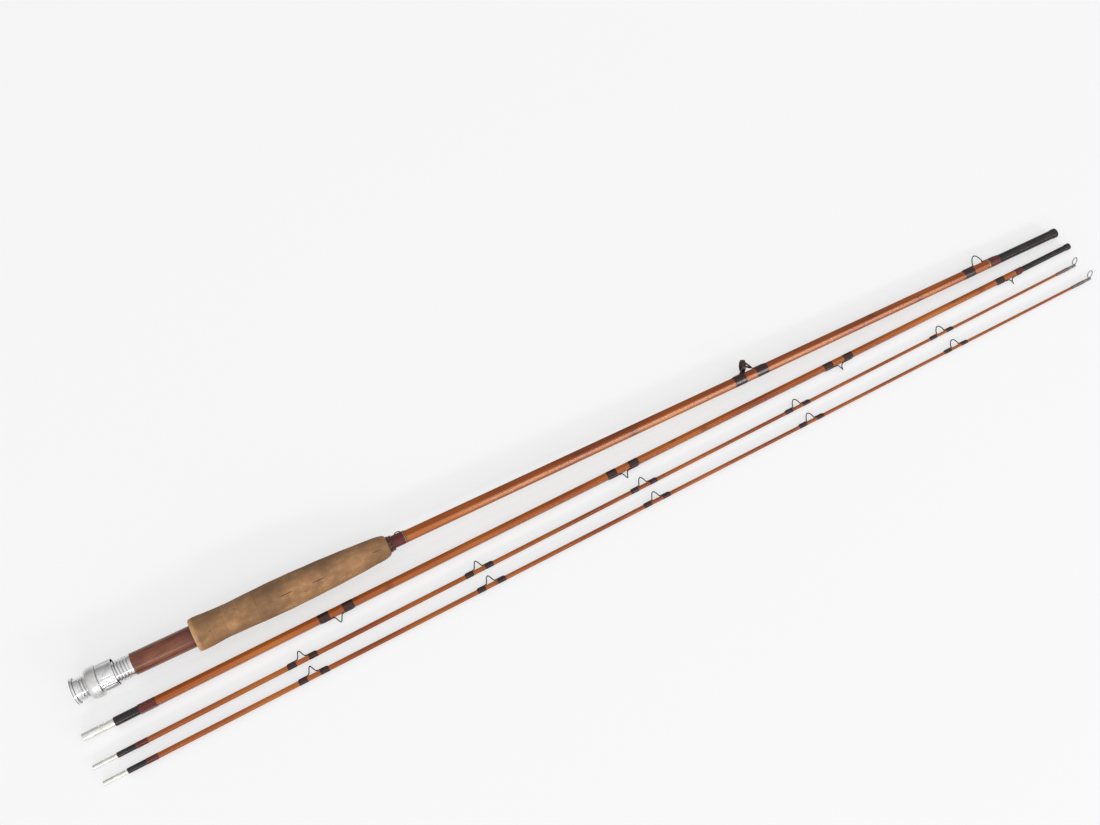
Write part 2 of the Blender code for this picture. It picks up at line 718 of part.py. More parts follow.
def stripping_guide(butt):
    """The first guide: a bezel on a sheet leg and two brace legs, with a hard ring seated in it."""
    flat = BUTT_CANE.half_flat(STRIPPER_PLACE)
    centre = flat + GLUE_FIT + STRIPPER_STAND + STRIPPER_BEZEL_RADIUS
    ring_x = STRIPPER_PLACE - STRIPPER_RING_SETBACK
    stand = Matrix.Translation((ring_x, 0, centre)) @ Matrix.Rotation(STRIPPER_LEAN, 4, "Y")

    def leaning(outline):
        return [[stand @ point for point in circle(x, radius)] for x, radius in outline]

    half = STRIPPER_BEZEL_DEPTH / 2
    seat = STRIPPER_BEZEL_RADIUS - STRIPPER_BEZEL_WALL
    bezel = [(-half, seat), (-half, STRIPPER_BEZEL_RADIUS), (half, STRIPPER_BEZEL_RADIUS), (half, seat)]
    frame = loft("stripping_guide_frame", leaning(bezel), butt, "guide_steel", closed=True)
    outer = seat - GLUE_FIT
    inner = outer - STRIPPER_RING_WALL
    deep = STRIPPER_RING_DEPTH / 2
    bevel = STRIPPER_RING_BEVEL
    ring = [(bevel - deep, inner), (-deep, inner + bevel), (-deep, outer)]
    ring += [(deep, outer), (deep, inner + bevel), (deep - bevel, inner)]
    loft("stripping_guide_ring", leaning(ring), butt, "stripper_ring", closed=True)

    heel = STRIPPER_PLACE - STRIPPER_GAP / 2
    reach = STRIPPER_BEZEL_RADIUS - STRIPPER_BEZEL_WALL / 2
    foot, radii = foot_run(BUTT_CANE, heel - STRIPPER_FOOT, heel - FOOT_RADIUS, heel, FOOT_RADIUS)
    base = stand @ Vector((half / 2, 0, -reach))
    knee = foot[-1] + Vector((STRIPPER_BACK_LEG_RADIUS + 2 * END_GAP, 0, STRIPPER_BACK_LEG_RISE))
    radii += [STRIPPER_BACK_LEG_RADIUS, STRIPPER_LEG_END]
    back = wire("stripping_guide_back_leg", foot + [knee, base], radii, butt, "guide_steel")
    boolean(frame, back, "UNION")
    toe = STRIPPER_PLACE + STRIPPER_GAP / 2
    for name, side in (("left", 1), ("right", -1)):
        foot, radii = foot_run(BUTT_CANE, toe + STRIPPER_FOOT, toe + FOOT_RADIUS, toe, FOOT_RADIUS)
        end = stand @ polar(half / 2, reach, side * STRIPPER_LEG_SPREAD)
        path = foot + [(foot[-1] + end) / 2, end]
        radii += [STRIPPER_LEG_RADIUS, STRIPPER_LEG_END]
        brace = wire(f"stripping_guide_{name}_leg", path, radii, butt, "guide_steel")
        boolean(frame, brace, "UNION")
    wrap("stripping_guide_rear_wrap", BUTT_CANE, heel - STRIPPER_WRAP, heel, butt)
    wrap("stripping_guide_front_wrap", BUTT_CANE, toe, toe + STRIPPER_WRAP, butt)


def lay_down(section, place, heading, rests, roll):
    """Lays a section on the table: its (x, height) rests set its tilt and the height of its axis."""
    (near, low), (far, high) = rests
    tilt = math.asin((low - high) / (far - near))
    section.location = (*place, low + near * math.sin(tilt) + TABLE_GAP)
    section.rotation_euler = (roll, tilt, heading)


def butt_section(layout):
    """The handle section: reel seat, grip, keeper, stripping guide, one snake guide and a ferrule."""
    rear = PLUG_FRONT + 2 * END_GAP
    rests = (
        (GRIP_REAR + GRIP_SWELL_PLACE, GRIP_SWELL_RADIUS),
        (BUTT_LENGTH - WELT_LENGTH / 2, BUTT_FEMALE_RADIUS + WELT_HEIGHT),
    )
    butt = add_empty("butt_section", layout)
    lay_down(butt, (0, 0), 0, rests, BUTT_GUIDES_UP - math.pi / 2)
    cane_end = BUTT_SHOULDER - END_GAP
    depth = BUTT_FEMALE_LENGTH - MID_SLIDE_LENGTH - END_GAP - FEMALE_WEB
    neck = tenon(BUTT_FEMALE_RADIUS, depth)
    cane_blank("butt_blank", BUTT_CANE, (rear, cane_end), (None, neck), butt)
    butt_cap(butt)
    seat_barrel(butt)
    seat_spacer(butt)
    hood_and_nut(butt)
    fixed_hood(butt)
    cork_grip(butt)
    winding_check(butt)
    hook_keeper(butt)
    stripping_guide(butt)
    binding = cane_end - BUTT_FERRULE_WRAP
    snake_guide("butt", BUTT_CANE, binding - BUTT_SNAKE.gap / 2, BUTT_SNAKE, butt, front_wrap=False)
    wrap("butt_ferrule_wrap", BUTT_CANE, binding, cane_end, butt, "maroon_thread")
    female_ferrule("butt_female_ferrule", BUTT_LENGTH, BUTT_FEMALE_LENGTH, BUTT_FEMALE_RADIUS,
                   MID_SLIDE_RADIUS, MID_SLIDE_LENGTH, butt)


def wrapped_corner(cane, x):
    """How far the thread reaches from the axis over a corner of the cane."""
    return cane.corner(x) + (GLUE_FIT + WRAP_THICK) / math.cos(math.pi / 6)


def mid_section(layout):
    """The middle section: a ferrule at each end and four snake guides."""
    mid = add_empty("mid_section", layout)
    cane_start = MID_CANE_REAR + END_GAP
    cane_end = MID_SHOULDER - END_GAP
    rests = (
        (cane_start, wrapped_corner(MID_CANE, cane_start)),
        (cane_end, wrapped_corner(MID_CANE, cane_end)),
    )
    lay_down(mid, MID_PLACE, MID_HEADING, rests, math.pi / 2 - MID_GUIDES_UP)
    depth = MID_FEMALE_LENGTH - TIP_SLIDE_LENGTH - END_GAP - FEMALE_WEB
    tenons = (tenon(MID_MALE_RADIUS, MALE_SOCKET_DEPTH), tenon(MID_FEMALE_RADIUS, depth))
    cane_blank("mid_blank", MID_CANE, (cane_start, cane_end), tenons, mid)
    male_ferrule("mid_male_ferrule", MID_SLIDE_RADIUS, MID_SLIDE_LENGTH, MID_MALE_BODY_LENGTH, mid)
    binding = cane_start + MID_MALE_WRAP
    wrap("mid_male_wrap", MID_CANE, cane_start, binding, mid, "maroon_thread", bare_section)
    for number, crest in enumerate(MID_GUIDE_PLACES, 1):
        snake_guide(f"mid_{number}", MID_CANE, crest, MID_SNAKE, mid)
    binding = cane_end - MID_FERRULE_WRAP
    last = len(MID_GUIDE_PLACES) + 1
    snake_guide(f"mid_{last}", MID_CANE, binding - MID_SNAKE.gap / 2, MID_SNAKE, mid, front_wrap=False)
    wrap("mid_ferrule_wrap", MID_CANE, binding, cane_end, mid, "maroon_thread")
    female_ferrule("mid_female_ferrule", MID_LENGTH, MID_FEMALE_LENGTH, MID_FEMALE_RADIUS,
                   TIP_SLIDE_RADIUS, TIP_SLIDE_LENGTH, mid)


def tip_top(name, tip):
    """The tip-top: a tube on the cane's end with a leaning wire ring at its mouth."""
    rear = TIP_LENGTH - TIP_TOP_TUBE
    cane_end = TIP_LENGTH - TIP_TOP_RADIUS
    outline = [
        (cane_end + END_GAP, TIP_TOP_BORE),
        (rear, TIP_TOP_BORE),
        (rear, TIP_TOP_RADIUS),
        (TIP_LENGTH, TIP_TOP_RADIUS),
    ]
    tube = turned(f"{name}_top", outline, tip, "guide_steel", sides=BLANK_SIDES)
    lean = Matrix.Rotation(math.pi / 2 - TIP_TOP_RING_LEAN, 4, "Y")
    foot = Vector((TIP_LENGTH - TIP_TOP_RING_WIRE, 0, TIP_TOP_RADIUS - TIP_TOP_RING_WIRE))
    stand = Matrix.Translation(foot) @ lean @ Matrix.Translation((0, 0, TIP_TOP_RING_RADIUS))
    rings = []
    for step in range(ROUND_SIDES):
        angle = math.tau * step / ROUND_SIDES
        ring = []
        for i in range(WIRE_SIDES):
            turn = math.tau * i / WIRE_SIDES
            reach = TIP_TOP_RING_RADIUS + TIP_TOP_RING_WIRE * math.cos(turn)
            ring.append(stand @ polar(TIP_TOP_RING_WIRE * math.sin(turn), reach, angle))
        rings.append(ring)
    loop = loft(f"{name}_top_loop", rings, tip, "guide_steel", closed=True)
    boolean(tube, loop, "UNION")


def tip_top_wrap(name, tip):
    """The wrap that runs from the cane up over the rear of the tip-top's tube."""
    rear = TIP_LENGTH - TIP_TOP_TUBE
    start = rear - TIP_TOP_WRAP / 2
    end = rear + TIP_TOP_WRAP / 2
    inner = GLUE_FIT
    outer = GLUE_FIT + WRAP_THICK
    step = rear - END_GAP
    swell = rear - 2 * WRAP_THICK - END_GAP
    flat = TIP_CANE.half_flat
    rings = [
        hexagon(start, flat(start) + inner),
        hexagon(start, flat(start) + outer),
        hexagon(swell, flat(swell) + outer),
        circle(step, TIP_TOP_RADIUS + outer, BLANK_SIDES),
        circle(end, TIP_TOP_RADIUS + outer, BLANK_SIDES),
        circle(end, TIP_TOP_RADIUS + inner, BLANK_SIDES),
        circle(step, TIP_TOP_RADIUS + inner, BLANK_SIDES),
        hexagon(swell, flat(swell) + inner),
    ]
    loft(f"{name}_top_wrap", rings, tip, "dark_thread", closed=True)


def tip_section(name, layout, place, heading):
    """One of the two like tips: a male ferrule, five snake guides and a tip-top.

    The thread on its guides is only a finish, and isn't a solid.
    """
    tip = add_empty(f"{name}_section", layout)
    cane_start = TIP_CANE_REAR + END_GAP
    ring_lean = math.sin(TIP_TOP_RING_LEAN) * math.sin(TIP_GUIDES_UP)
    ring_reach = (TIP_TOP_RING_RADIUS + TIP_TOP_RING_WIRE) * math.hypot(math.cos(TIP_GUIDES_UP), ring_lean)
    ring_foot = (TIP_TOP_RADIUS - TIP_TOP_RING_WIRE) * math.sin(TIP_GUIDES_UP)
    ring_place = TIP_LENGTH - TIP_TOP_RING_WIRE + TIP_TOP_RING_RADIUS * math.cos(TIP_TOP_RING_LEAN)
    rests = (
        (cane_start, wrapped_corner(TIP_CANE, cane_start)),
        (ring_place, ring_reach - ring_foot - TIP_TOP_RING_RADIUS * ring_lean),
    )
    lay_down(tip, place, heading, rests, TIP_GUIDES_UP - math.pi / 2)
    cane_end = TIP_LENGTH - TIP_TOP_TUBE - END_GAP
    top_tenon = (TIP_LENGTH - TIP_TOP_RADIUS - cane_end, TIP_TOP_TENON_RADIUS)
    tenons = (tenon(TIP_MALE_RADIUS, MALE_SOCKET_DEPTH), top_tenon)
    cane_blank(f"{name}_blank", TIP_CANE, (cane_start, cane_end), tenons, tip)
    male_ferrule(f"{name}_male_ferrule", TIP_SLIDE_RADIUS, TIP_SLIDE_LENGTH, TIP_MALE_BODY_LENGTH, tip)
    binding = cane_start + TIP_MALE_WRAP
    wrap(f"{name}_male_wrap", TIP_CANE, cane_start, binding, tip, "maroon_thread", bare_section)
    for number in range(TIP_GUIDE_COUNT):
        crest = TIP_FIRST_GUIDE + number * TIP_GUIDE_SPACING
        looped_wire(f"{name}_{number + 1}_snake_guide", TIP_CANE, crest, TIP_SNAKE, tip)
    tip_top(name, tip)
    tip_top_wrap(name, tip)


def centre_on_floor(layout):
    """Moves the layout so that its box stands on the floor, centred on the origin."""
    bpy.context.view_layer.update()
    graph = bpy.context.evaluated_depsgraph_get()
    corners = []
    for piece in bpy.data.objects:
        if piece.type != "MESH" or piece.hide_render:
            continue
        shape = piece.evaluated_get(graph)
        points = np.empty(len(shape.data.vertices) * 3)
        shape.data.vertices.foreach_get("co", points)
        matrix = np.array(shape.matrix_world)
        points = points.reshape(-1, 3) @ matrix[:3, :3].T + matrix[:3, 3]
        corners += [points.min(axis=0), points.max(axis=0)]
    low = np.min(corners, axis=0)
    high = np.max(corners, axis=0)
    layout.location = (-(low[0] + high[0]) / 2, -(low[1] + high[1]) / 2, -low[2])


def main():
    """Builds the four sections side by side."""
    for thing in list(bpy.data.objects):
        bpy.data.objects.remove(thing, do_unlink=True)
    layout = add_empty("rod_layout")
    butt_section(layout)
    mid_section(layout)
    tip_section("tip_a", layout, TIP_A_PLACE, TIP_A_HEADING)
    tip_section("tip_b", layout, TIP_B_PLACE, TIP_B_HEADING)
    centre_on_floor(layout)


if __name__ == "__main__":
    main()
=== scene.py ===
"""Looks of a split-cane fly rod that lies taken down: a butt, a middle and two like tips.

Each section is worked out along its own +X from its butt end, with its guides on its +Z side, and is
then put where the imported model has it. An angle round a section is counted from its guide side.
Lengths are in metres.
"""

import logging
import math
from abc import ABC, abstractmethod
from collections.abc import Sequence
from dataclasses import dataclass, field
from enum import Enum
from functools import cache
from typing import Any

import bpy
import numpy as np
from mathutils import Matrix


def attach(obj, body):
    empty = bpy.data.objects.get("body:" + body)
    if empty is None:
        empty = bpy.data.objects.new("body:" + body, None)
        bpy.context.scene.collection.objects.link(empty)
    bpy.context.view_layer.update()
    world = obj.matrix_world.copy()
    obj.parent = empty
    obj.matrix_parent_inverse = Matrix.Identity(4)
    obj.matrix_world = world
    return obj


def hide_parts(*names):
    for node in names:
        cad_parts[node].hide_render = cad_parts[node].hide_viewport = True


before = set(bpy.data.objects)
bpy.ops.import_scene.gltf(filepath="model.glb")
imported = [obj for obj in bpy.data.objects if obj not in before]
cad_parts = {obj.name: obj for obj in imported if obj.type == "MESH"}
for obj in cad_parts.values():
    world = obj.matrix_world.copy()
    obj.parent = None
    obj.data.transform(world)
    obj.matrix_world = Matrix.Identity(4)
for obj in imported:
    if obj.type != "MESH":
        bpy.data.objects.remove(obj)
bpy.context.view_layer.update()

LOG = logging.getLogger("fly_rod")
SHARP_ANGLE = math.radians(38)
GLUE_FIT = 0.00008
END_GAP = 0.0003
FOOT_RADIUS = 0.0003
GRIP_REAR = 0.0935
CORK_RING = 0.0126
TURNED_SIDES = 64
SEAT_SIDES = 96
FLATS = 6
MILLIMETRES = 1000
COS_30 = math.cos(math.pi / 6)

Array = np.ndarray
Colour = tuple[float, float, float]
Socket = bpy.types.NodeSocket


class Slot(Enum):
    """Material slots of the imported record."""

    CANE = "varnished_cane"
    CORK = "cork"
    SEAT = "seat_metal"
    SPACER = "seat_spacer"
    FERRULE = "blackened_ferrule"
    MAROON = "maroon_thread"
    DARK = "dark_thread"
    WIRE = "guide_wire"
    RING = "stripper_ring"
    CHECK = "winding_check"


class Body(Enum):
    """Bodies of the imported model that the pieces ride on."""

    BUTT = "butt"
    HOOD = "sliding_hood"
    NUT = "lock_nut"
    MID = "mid"
    TIP_A = "tip_a"
    TIP_B = "tip_b"


def paint(red: int, green: int, blue: int) -> Colour:
    """A colour given as it shows on a screen.

    Args:
        red: its red part, from 0 to 255.
        green: its green part.
        blue: its blue part.

    Returns:
        The colour in linear light, by the sRGB curve.
    """
    parts = np.array([red, green, blue]) / 255
    light = np.where(parts <= 0.04045, parts / 12.92, ((parts + 0.055) / 1.055) ** 2.4)
    return tuple(float(part) for part in light)


def smooth(share: Array) -> Array:
    """A share held between 0 and 1 and eased at both ends: 3s² - 2s³."""
    held = np.clip(share, 0.0, 1.0)
    return held * held * (3 - 2 * held)


def quarter_round(share: Array) -> Array:
    """A share that rises like a quarter circle: the root of 1 - (1 - s)²."""
    return np.sqrt(1 - (1 - share) ** 2)


def bell(distance: Array, width: float) -> Array:
    """A bell curve: e to the power of minus the square of the distance over the width."""
    return np.exp(-((distance / width) ** 2))


# Nodes of the materials


class Graph:
    """The nodes of one material or of the world, made and joined by short calls."""

    def __init__(self, owner: bpy.types.Material | bpy.types.World) -> None:
        """Starts with the shader that Blender makes.

        Args:
            owner: what the nodes belong to.
        """
        owner.use_nodes = True
        self.tree = owner.node_tree
        ready = ("BSDF_PRINCIPLED", "BACKGROUND")
        self.shader = next(node for node in self.tree.nodes if node.type in ready)

    def node(self, kind: str, inputs: dict[Any, Any] | None = None, **settings: Any) -> bpy.types.Node:
        """Adds a node.

        Args:
            kind: the node's type without its ShaderNode prefix.
            inputs: values or sockets for its inputs, by name or number.
            settings: values for its other properties.

        Returns:
            The node.
        """
        made = self.tree.nodes.new("ShaderNode" + kind)
        for key, value in settings.items():
            setattr(made, key, value)
        for key, value in (inputs or {}).items():
            self.feed(made.inputs[key], value)
        return made

    def feed(self, socket: Socket, value: Any) -> None:
        """Links a socket to another one, or sets it to a plain value.

        Args:
            socket: the input.
            value: a socket, a number, a vector or a colour of three parts.
        """
        if isinstance(value, Socket):
            self.tree.links.new(value, socket)
        else:
            socket.default_value = (*value, 1.0) if socket.type == "RGBA" else value

    def attribute(self, name: str, output: str = "Fac") -> Socket:
        """An attribute that the mesh carries."""
        return self.node("Attribute", attribute_name=name).outputs[output]

    def place(self, stretch: Sequence[float] = (1, 1, 1)) -> Socket:
        """The place on the section in metres, multiplied axis by axis."""
        local = self.attribute("local", "Vector")
        return self.node("VectorMath", {0: local, 1: stretch}, operation="MULTIPLY").outputs[0]

    def axes(self) -> Sequence[Socket]:
        """The distance from the section's butt end, and the places across it and towards its guides."""
        return self.node("SeparateXYZ", {0: self.place()}).outputs

    def noise(self, stretch: Sequence[float], detail: float = 2.0, rough: float = 0.55,
              shift: Sequence[float] | None = None) -> Socket:
        """Cloudy noise.

        Args:
            stretch: cycles per metre along and across the section.
            detail: octaves of finer noise.
            rough: strength of each octave against the one before.
            shift: where in the noise the section's butt end lies, if not at its start.

        Returns:
            Its value, about 0.2 to 0.8.
        """
        place = self.place(stretch)
        if shift:
            place = self.node("VectorMath", {0: place, 1: shift}, operation="ADD").outputs[0]
        inputs = {"Vector": place, "Scale": 1.0, "Detail": detail, "Roughness": rough}
        return self.node("TexNoise", inputs).outputs[0]

    def lot(self, number: Socket) -> Socket:
        """A value from 0 to 1 that is drawn anew for each number."""
        return self.node("TexWhiteNoise", {"W": number}, noise_dimensions="1D").outputs[0]

    def math(self, operation: str, *values: Any) -> Socket:
        """One step of arithmetic."""
        return self.node("Math", dict(enumerate(values)), operation=operation).outputs[0]

    def sum(self, *terms: tuple[float, Any]) -> Socket:
        """Adds up sockets.

        Args:
            terms: a weight and a socket each.

        Returns:
            The sum of the sockets, each times its weight.
        """
        total: Any = 0.0
        for weight, socket in terms:
            total = self.math("MULTIPLY_ADD", socket, weight, total)
        return total

    def from_half(self, value: Any) -> Socket:
        """How far the fraction of a value is from a half."""
        return self.math("ABSOLUTE", self.math("SUBTRACT", self.math("FRACT", value), 0.5))

    def span(self, value: Any, low: float, high: float, to_low: float = 0.0, to_high: float = 1.0) -> Socket:
        """A value carried from one span to another, held at the ends and eased."""
        inputs = {"Value": value, "From Min": low, "From Max": high, "To Min": to_low, "To Max": to_high}
        return self.node("MapRange", inputs, interpolation_type="SMOOTHSTEP").outputs[0]

    def blend(self, share: Any, first: Any, second: Any) -> Socket:
        """A colour between two colours; a Mix node has its colours in its sixth and seventh inputs."""
        return self.node("Mix", {0: share, 6: first, 7: second}, data_type="RGBA").outputs[2]

    def ramp(self, share: Any, stops: Sequence[tuple[float, Colour]]) -> Socket:
        """A colour from a row of stops.

        Args:
            share: the place in the row.
            stops: a place and a colour each; the first two take the stops that a ramp starts with.

        Returns:
            The colour at that place.
        """
        made = self.node("ValToRGB", {0: share})
        row = made.color_ramp.elements
        for number, (where, colour) in enumerate(stops):
            stop = row[number] if number < len(row) else row.new(where)
            stop.position = where
            stop.color = (*colour, 1.0)
        return made.outputs[0]

    def bump(self, height: Any, depth: float, strength: float) -> None:
        """Roughens the surface by a height from 0 to 1 that stands for a depth in metres."""
        inputs = {"Height": height, "Distance": depth, "Strength": strength}
        self.dress(Normal=self.node("Bump", inputs).outputs[0])

    def dress(self, **inputs: Any) -> None:
        """Sets or links the shader's inputs, named with _ for a space."""
        for key, value in inputs.items():
            self.feed(self.shader.inputs[key.replace("_", " ")], value)


# Finishes


@dataclass(frozen=True)
class Finish(ABC):
    """A finish: its material's name and the record's slot that it belongs to."""

    name: str
    slot: Slot

    @abstractmethod
    def draw(self, graph: Graph) -> None:
        """Sets the material's nodes."""


@dataclass(frozen=True)
class CaneFinish(Finish):
    """Varnished split cane: six strips of their own tone, dark seams, long fibres and growth nodes."""

    name: str = "cane_under_varnish"
    slot: Slot = Slot.CANE
    deep: Colour = paint(104, 42, 10)
    amber: Colour = paint(156, 76, 18)
    pale: Colour = paint(190, 112, 38)
    knot: Colour = paint(96, 44, 20)
    seam: Colour = paint(72, 28, 10)
    knot_spacing: float = 0.290
    knot_width: float = 0.0060
    varnish: float = 0.6
    varnish_roughness: float = 0.17
    relief: float = 0.00006

    def draw(self, graph: Graph) -> None:
        """The fibres are noise drawn out along the rod; each strip shifts the tone by its own share.

        A seam lies at each corner, where the angle round the rod is half way between two flats.

        Args:
            graph: the material's nodes.
        """
        x, y, z = graph.axes()
        fibre = graph.noise((9, 2600, 2600), 3, 0.6)
        cloud = graph.noise((11, 150, 150), 2)
        patch = graph.noise((11, 40, 40), 1)
        tone = graph.lot(graph.attribute("strip"))
        share = graph.sum((0.50, fibre), (0.32, cloud), (0.20, tone), (0.56, patch), (1.0, -0.16))
        wood = graph.ramp(share, [(0.34, self.deep), (0.92, self.pale), (0.60, self.amber)])
        turn = graph.math("MULTIPLY_ADD", x, 1 / self.knot_spacing, tone)
        knot = graph.span(graph.from_half(turn), 0.0, self.knot_width / self.knot_spacing, 0.55, 0.0)
        sixth = graph.math("MULTIPLY_ADD", graph.math("ARCTAN2", y, z), FLATS / math.tau, FLATS)
        seam = graph.span(graph.from_half(sixth), 0.02, 0.10, 0.6, 0.0)
        graph.dress(Base_Color=graph.blend(seam, graph.blend(knot, wood, self.knot), self.seam))
        graph.dress(Roughness=graph.span(fibre, 0.3, 0.7, 0.30, 0.46), Specular_IOR_Level=0.08)
        graph.dress(Coat_Weight=self.varnish, Coat_Roughness=self.varnish_roughness)
        graph.bump(graph.sum((0.6, fibre), (0.8, cloud)), self.relief, 0.5)


@dataclass(frozen=True)
class CorkFinish(Finish):
    """Handled cork: rings of their own tone, fine grain, dark slits, dirty where it is held, and darker on
    its upper side as painted shade.

    Each cut has its place along the section, its angle in degrees and half its length.
    """

    name: str = "handled_cork"
    slot: Slot = Slot.CORK
    pale: Colour = paint(206, 164, 118)
    tan: Colour = paint(166, 124, 86)
    brown: Colour = paint(136, 100, 68)
    # The colour of dirty cork, also used for the painted shade on its upper side.
    soiled_and_shaded: Colour = paint(98, 76, 57)
    slit: Colour = paint(74, 46, 30)
    clean_edge: float = 0.0042
    cuts: tuple[tuple[float, float, float], ...] = (
        (0.1679, -100.3, 0.0065), (0.1942, -104.7, 0.0056), (0.2430, -100.2, 0.0034),
    )
    cut_width: float = math.radians(1.7)
    cut_shift: float = 0.025
    slit_shift: tuple[float, float, float] = (7.3, 2.1, 4.4)
    relief: float = 0.00030

    def cut_mask(self, graph: Graph) -> Socket:
        """The long cuts: each an ellipse round its place and angle, made uneven by noise.

        Args:
            graph: the material's nodes.

        Returns:
            How far a place is in a cut, from 0 to 0.85.
        """
        x, y, z = graph.axes()
        angle = graph.math("ARCTAN2", y, z)
        waver = graph.noise((900, 900, 900), 2)
        total: Any = 0.0
        for where, turn, half in self.cuts:
            along = graph.math("DIVIDE", graph.math("SUBTRACT", x, where), half)
            lean = graph.sum((1.0, angle), (0.05, waver), (0.10, graph.math("MULTIPLY", along, half * 6)))
            middle = math.radians(turn) + self.cut_shift
            aside = graph.math("DIVIDE", graph.math("SUBTRACT", lean, middle), self.cut_width)
            off = graph.sum(*((1.0, graph.math("MULTIPLY", side, side)) for side in (along, aside)))
            total = graph.math("MAXIMUM", total, graph.span(off, 0.35, 1.15, 0.85, 0.0))
        return total

    def draw(self, graph: Graph) -> None:
        """Slits are the peaks of a noise drawn out along the grip, and pits those of a finer one.

        The cork is dirty in clouds, darker on its upper side as painted shade, and clean at its rear edge.

        Args:
            graph: the material's nodes.
        """
        x, y, z = graph.axes()
        grain = graph.noise((2300, 2300, 2300), 3, 0.65)
        cloud = graph.noise((150, 230, 230), 3)
        soil = graph.noise((42, 60, 60), 2)
        forward = graph.math("SUBTRACT", x, GRIP_REAR)
        turn = graph.math("DIVIDE", forward, CORK_RING)
        tone = graph.lot(graph.math("FLOOR", turn))
        share = graph.sum((0.40, grain), (0.58, cloud), (0.12, tone))
        colour = graph.ramp(share, [(0.34, self.brown), (0.86, self.pale), (0.60, self.tan)])
        edge = graph.span(forward, 0.0, self.clean_edge, 1.0, 0.0)
        # Painted shade: darker towards the upper side, away from the light; it adds to the dirt clouds.
        top = graph.span(graph.sum((0.9, z), (-0.3, y)), 0.001, 0.014, 0.0, 0.42)
        held = graph.math("ADD", graph.span(soil, 0.40, 0.66, 0.0, 0.40), top)
        held = graph.math("MAXIMUM", graph.math("SUBTRACT", held, edge), 0.0)
        colour = graph.blend(held, colour, self.soiled_and_shaded)
        colour = graph.blend(graph.math("MULTIPLY", edge, 0.8), colour, self.pale)
        joint = graph.span(graph.from_half(turn), 0.470, 0.497)
        joint = graph.math("MULTIPLY", joint, graph.span(cloud, 0.42, 0.62))
        colour = graph.blend(graph.math("MULTIPLY", joint, 0.22), colour, self.slit)
        slit = graph.span(graph.noise((105, 560, 560), 2, 0.5, self.slit_shift), 0.71, 0.76, 0.0, 0.7)
        pit = graph.span(graph.noise((820, 1300, 1300), 1), 0.74, 0.82, 0.0, 0.45)
        hole = graph.math("MAXIMUM", graph.math("MAXIMUM", slit, pit), self.cut_mask(graph))
        graph.dress(Base_Color=graph.blend(hole, colour, self.slit))
        graph.dress(Roughness=graph.span(grain, 0.3, 0.7, 0.70, 0.92), Specular_IOR_Level=0.3)
        graph.bump(graph.sum((0.30, grain), (-1.0, hole), (-0.30, joint)), self.relief, 0.8)


@dataclass(frozen=True)
class MetalFinish(Finish):
    """Metal that was turned in a lathe, handled and a little scratched, with painted shade where a mesh marks
    its hollows.
    """

    colour: Colour
    dull: Colour
    roughness: float
    turning: float = 0.0
    scratches: float = 0.3
    # Colour of the painted shade in hollows and of the painted dark reflection on rims.
    painted_shade: Colour = paint(62, 58, 54)
    relief: float = 0.00002

    def draw(self, graph: Graph) -> None:
        """Turning marks are noise that only changes along the axis; stains and scratches lie over them.

        An attribute says how dark to paint a hollow or a rim: painted shade in hollows, and a painted dark
        reflection on the cap's rim.

        Args:
            graph: the material's nodes.
        """
        stain = graph.noise((210, 260, 260), 4, 0.65)
        marks = graph.noise((9000, 40, 40), 1)
        scratch = graph.span(graph.noise((130, 4200, 4200), 2, 0.7), 0.60, 0.72)
        share = graph.sum((1.0, graph.span(stain, 0.42, 0.72)), (self.scratches, scratch))
        clean = graph.blend(share, self.colour, self.dull)
        # Painted shade and painted dark reflection, laid over the clean metal by the mesh's attribute.
        graph.dress(Base_Color=graph.blend(graph.attribute("painted_shade"), clean, self.painted_shade), Metallic=1.0)
        graph.dress(Roughness=graph.sum((0.16, stain), (0.10, marks), (1.0, self.roughness - 0.13)))
        if self.turning:
            graph.bump(marks, self.relief, self.turning)


@dataclass(frozen=True)
class BlackenedFinish(Finish):
    """Blackened ferrule metal, worn bright on the raised ring at its mouth and in small specks; the bright
    ring also stands in for painted glints.
    """

    name: str = "ferrule_black"
    slot: Slot = Slot.FERRULE
    black: Colour = paint(46, 45, 48)
    brown: Colour = paint(66, 58, 54)
    # Worn-bright metal, which on the rim of a female ferrule's mouth also serves as a painted glint.
    rubbed_and_glint: Colour = paint(150, 144, 138)
    relief: float = 0.00003

    def draw(self, graph: Graph) -> None:
        """The attribute named worn says how far the blackening is worn off, broken up by noise; at a female
        ferrule's rim the worn colour is also a painted glint.

        Args:
            graph: the material's nodes.
        """
        cloud = graph.noise((120, 420, 420), 3, 0.6)
        speck = graph.noise((900, 1900, 1900), 2, 0.6)
        line = graph.noise((30, 2600, 2600), 2, 0.6)
        share = graph.math("MULTIPLY", graph.attribute("worn"), graph.span(speck, 0.38, 0.58, 0.15, 1.0))
        share = graph.math("MAXIMUM", share, graph.span(speck, 0.70, 0.78, 0.0, 0.35))
        dark = graph.blend(graph.span(cloud, 0.35, 0.7), self.black, self.brown)
        graph.dress(Base_Color=graph.blend(share, dark, self.rubbed_and_glint), Metallic=0.75)
        graph.dress(Roughness=graph.sum((0.22, cloud), (0.18, line), (1.0, 0.04)))
        graph.bump(graph.sum((0.4, speck), (0.8, line)), self.relief, 0.4)


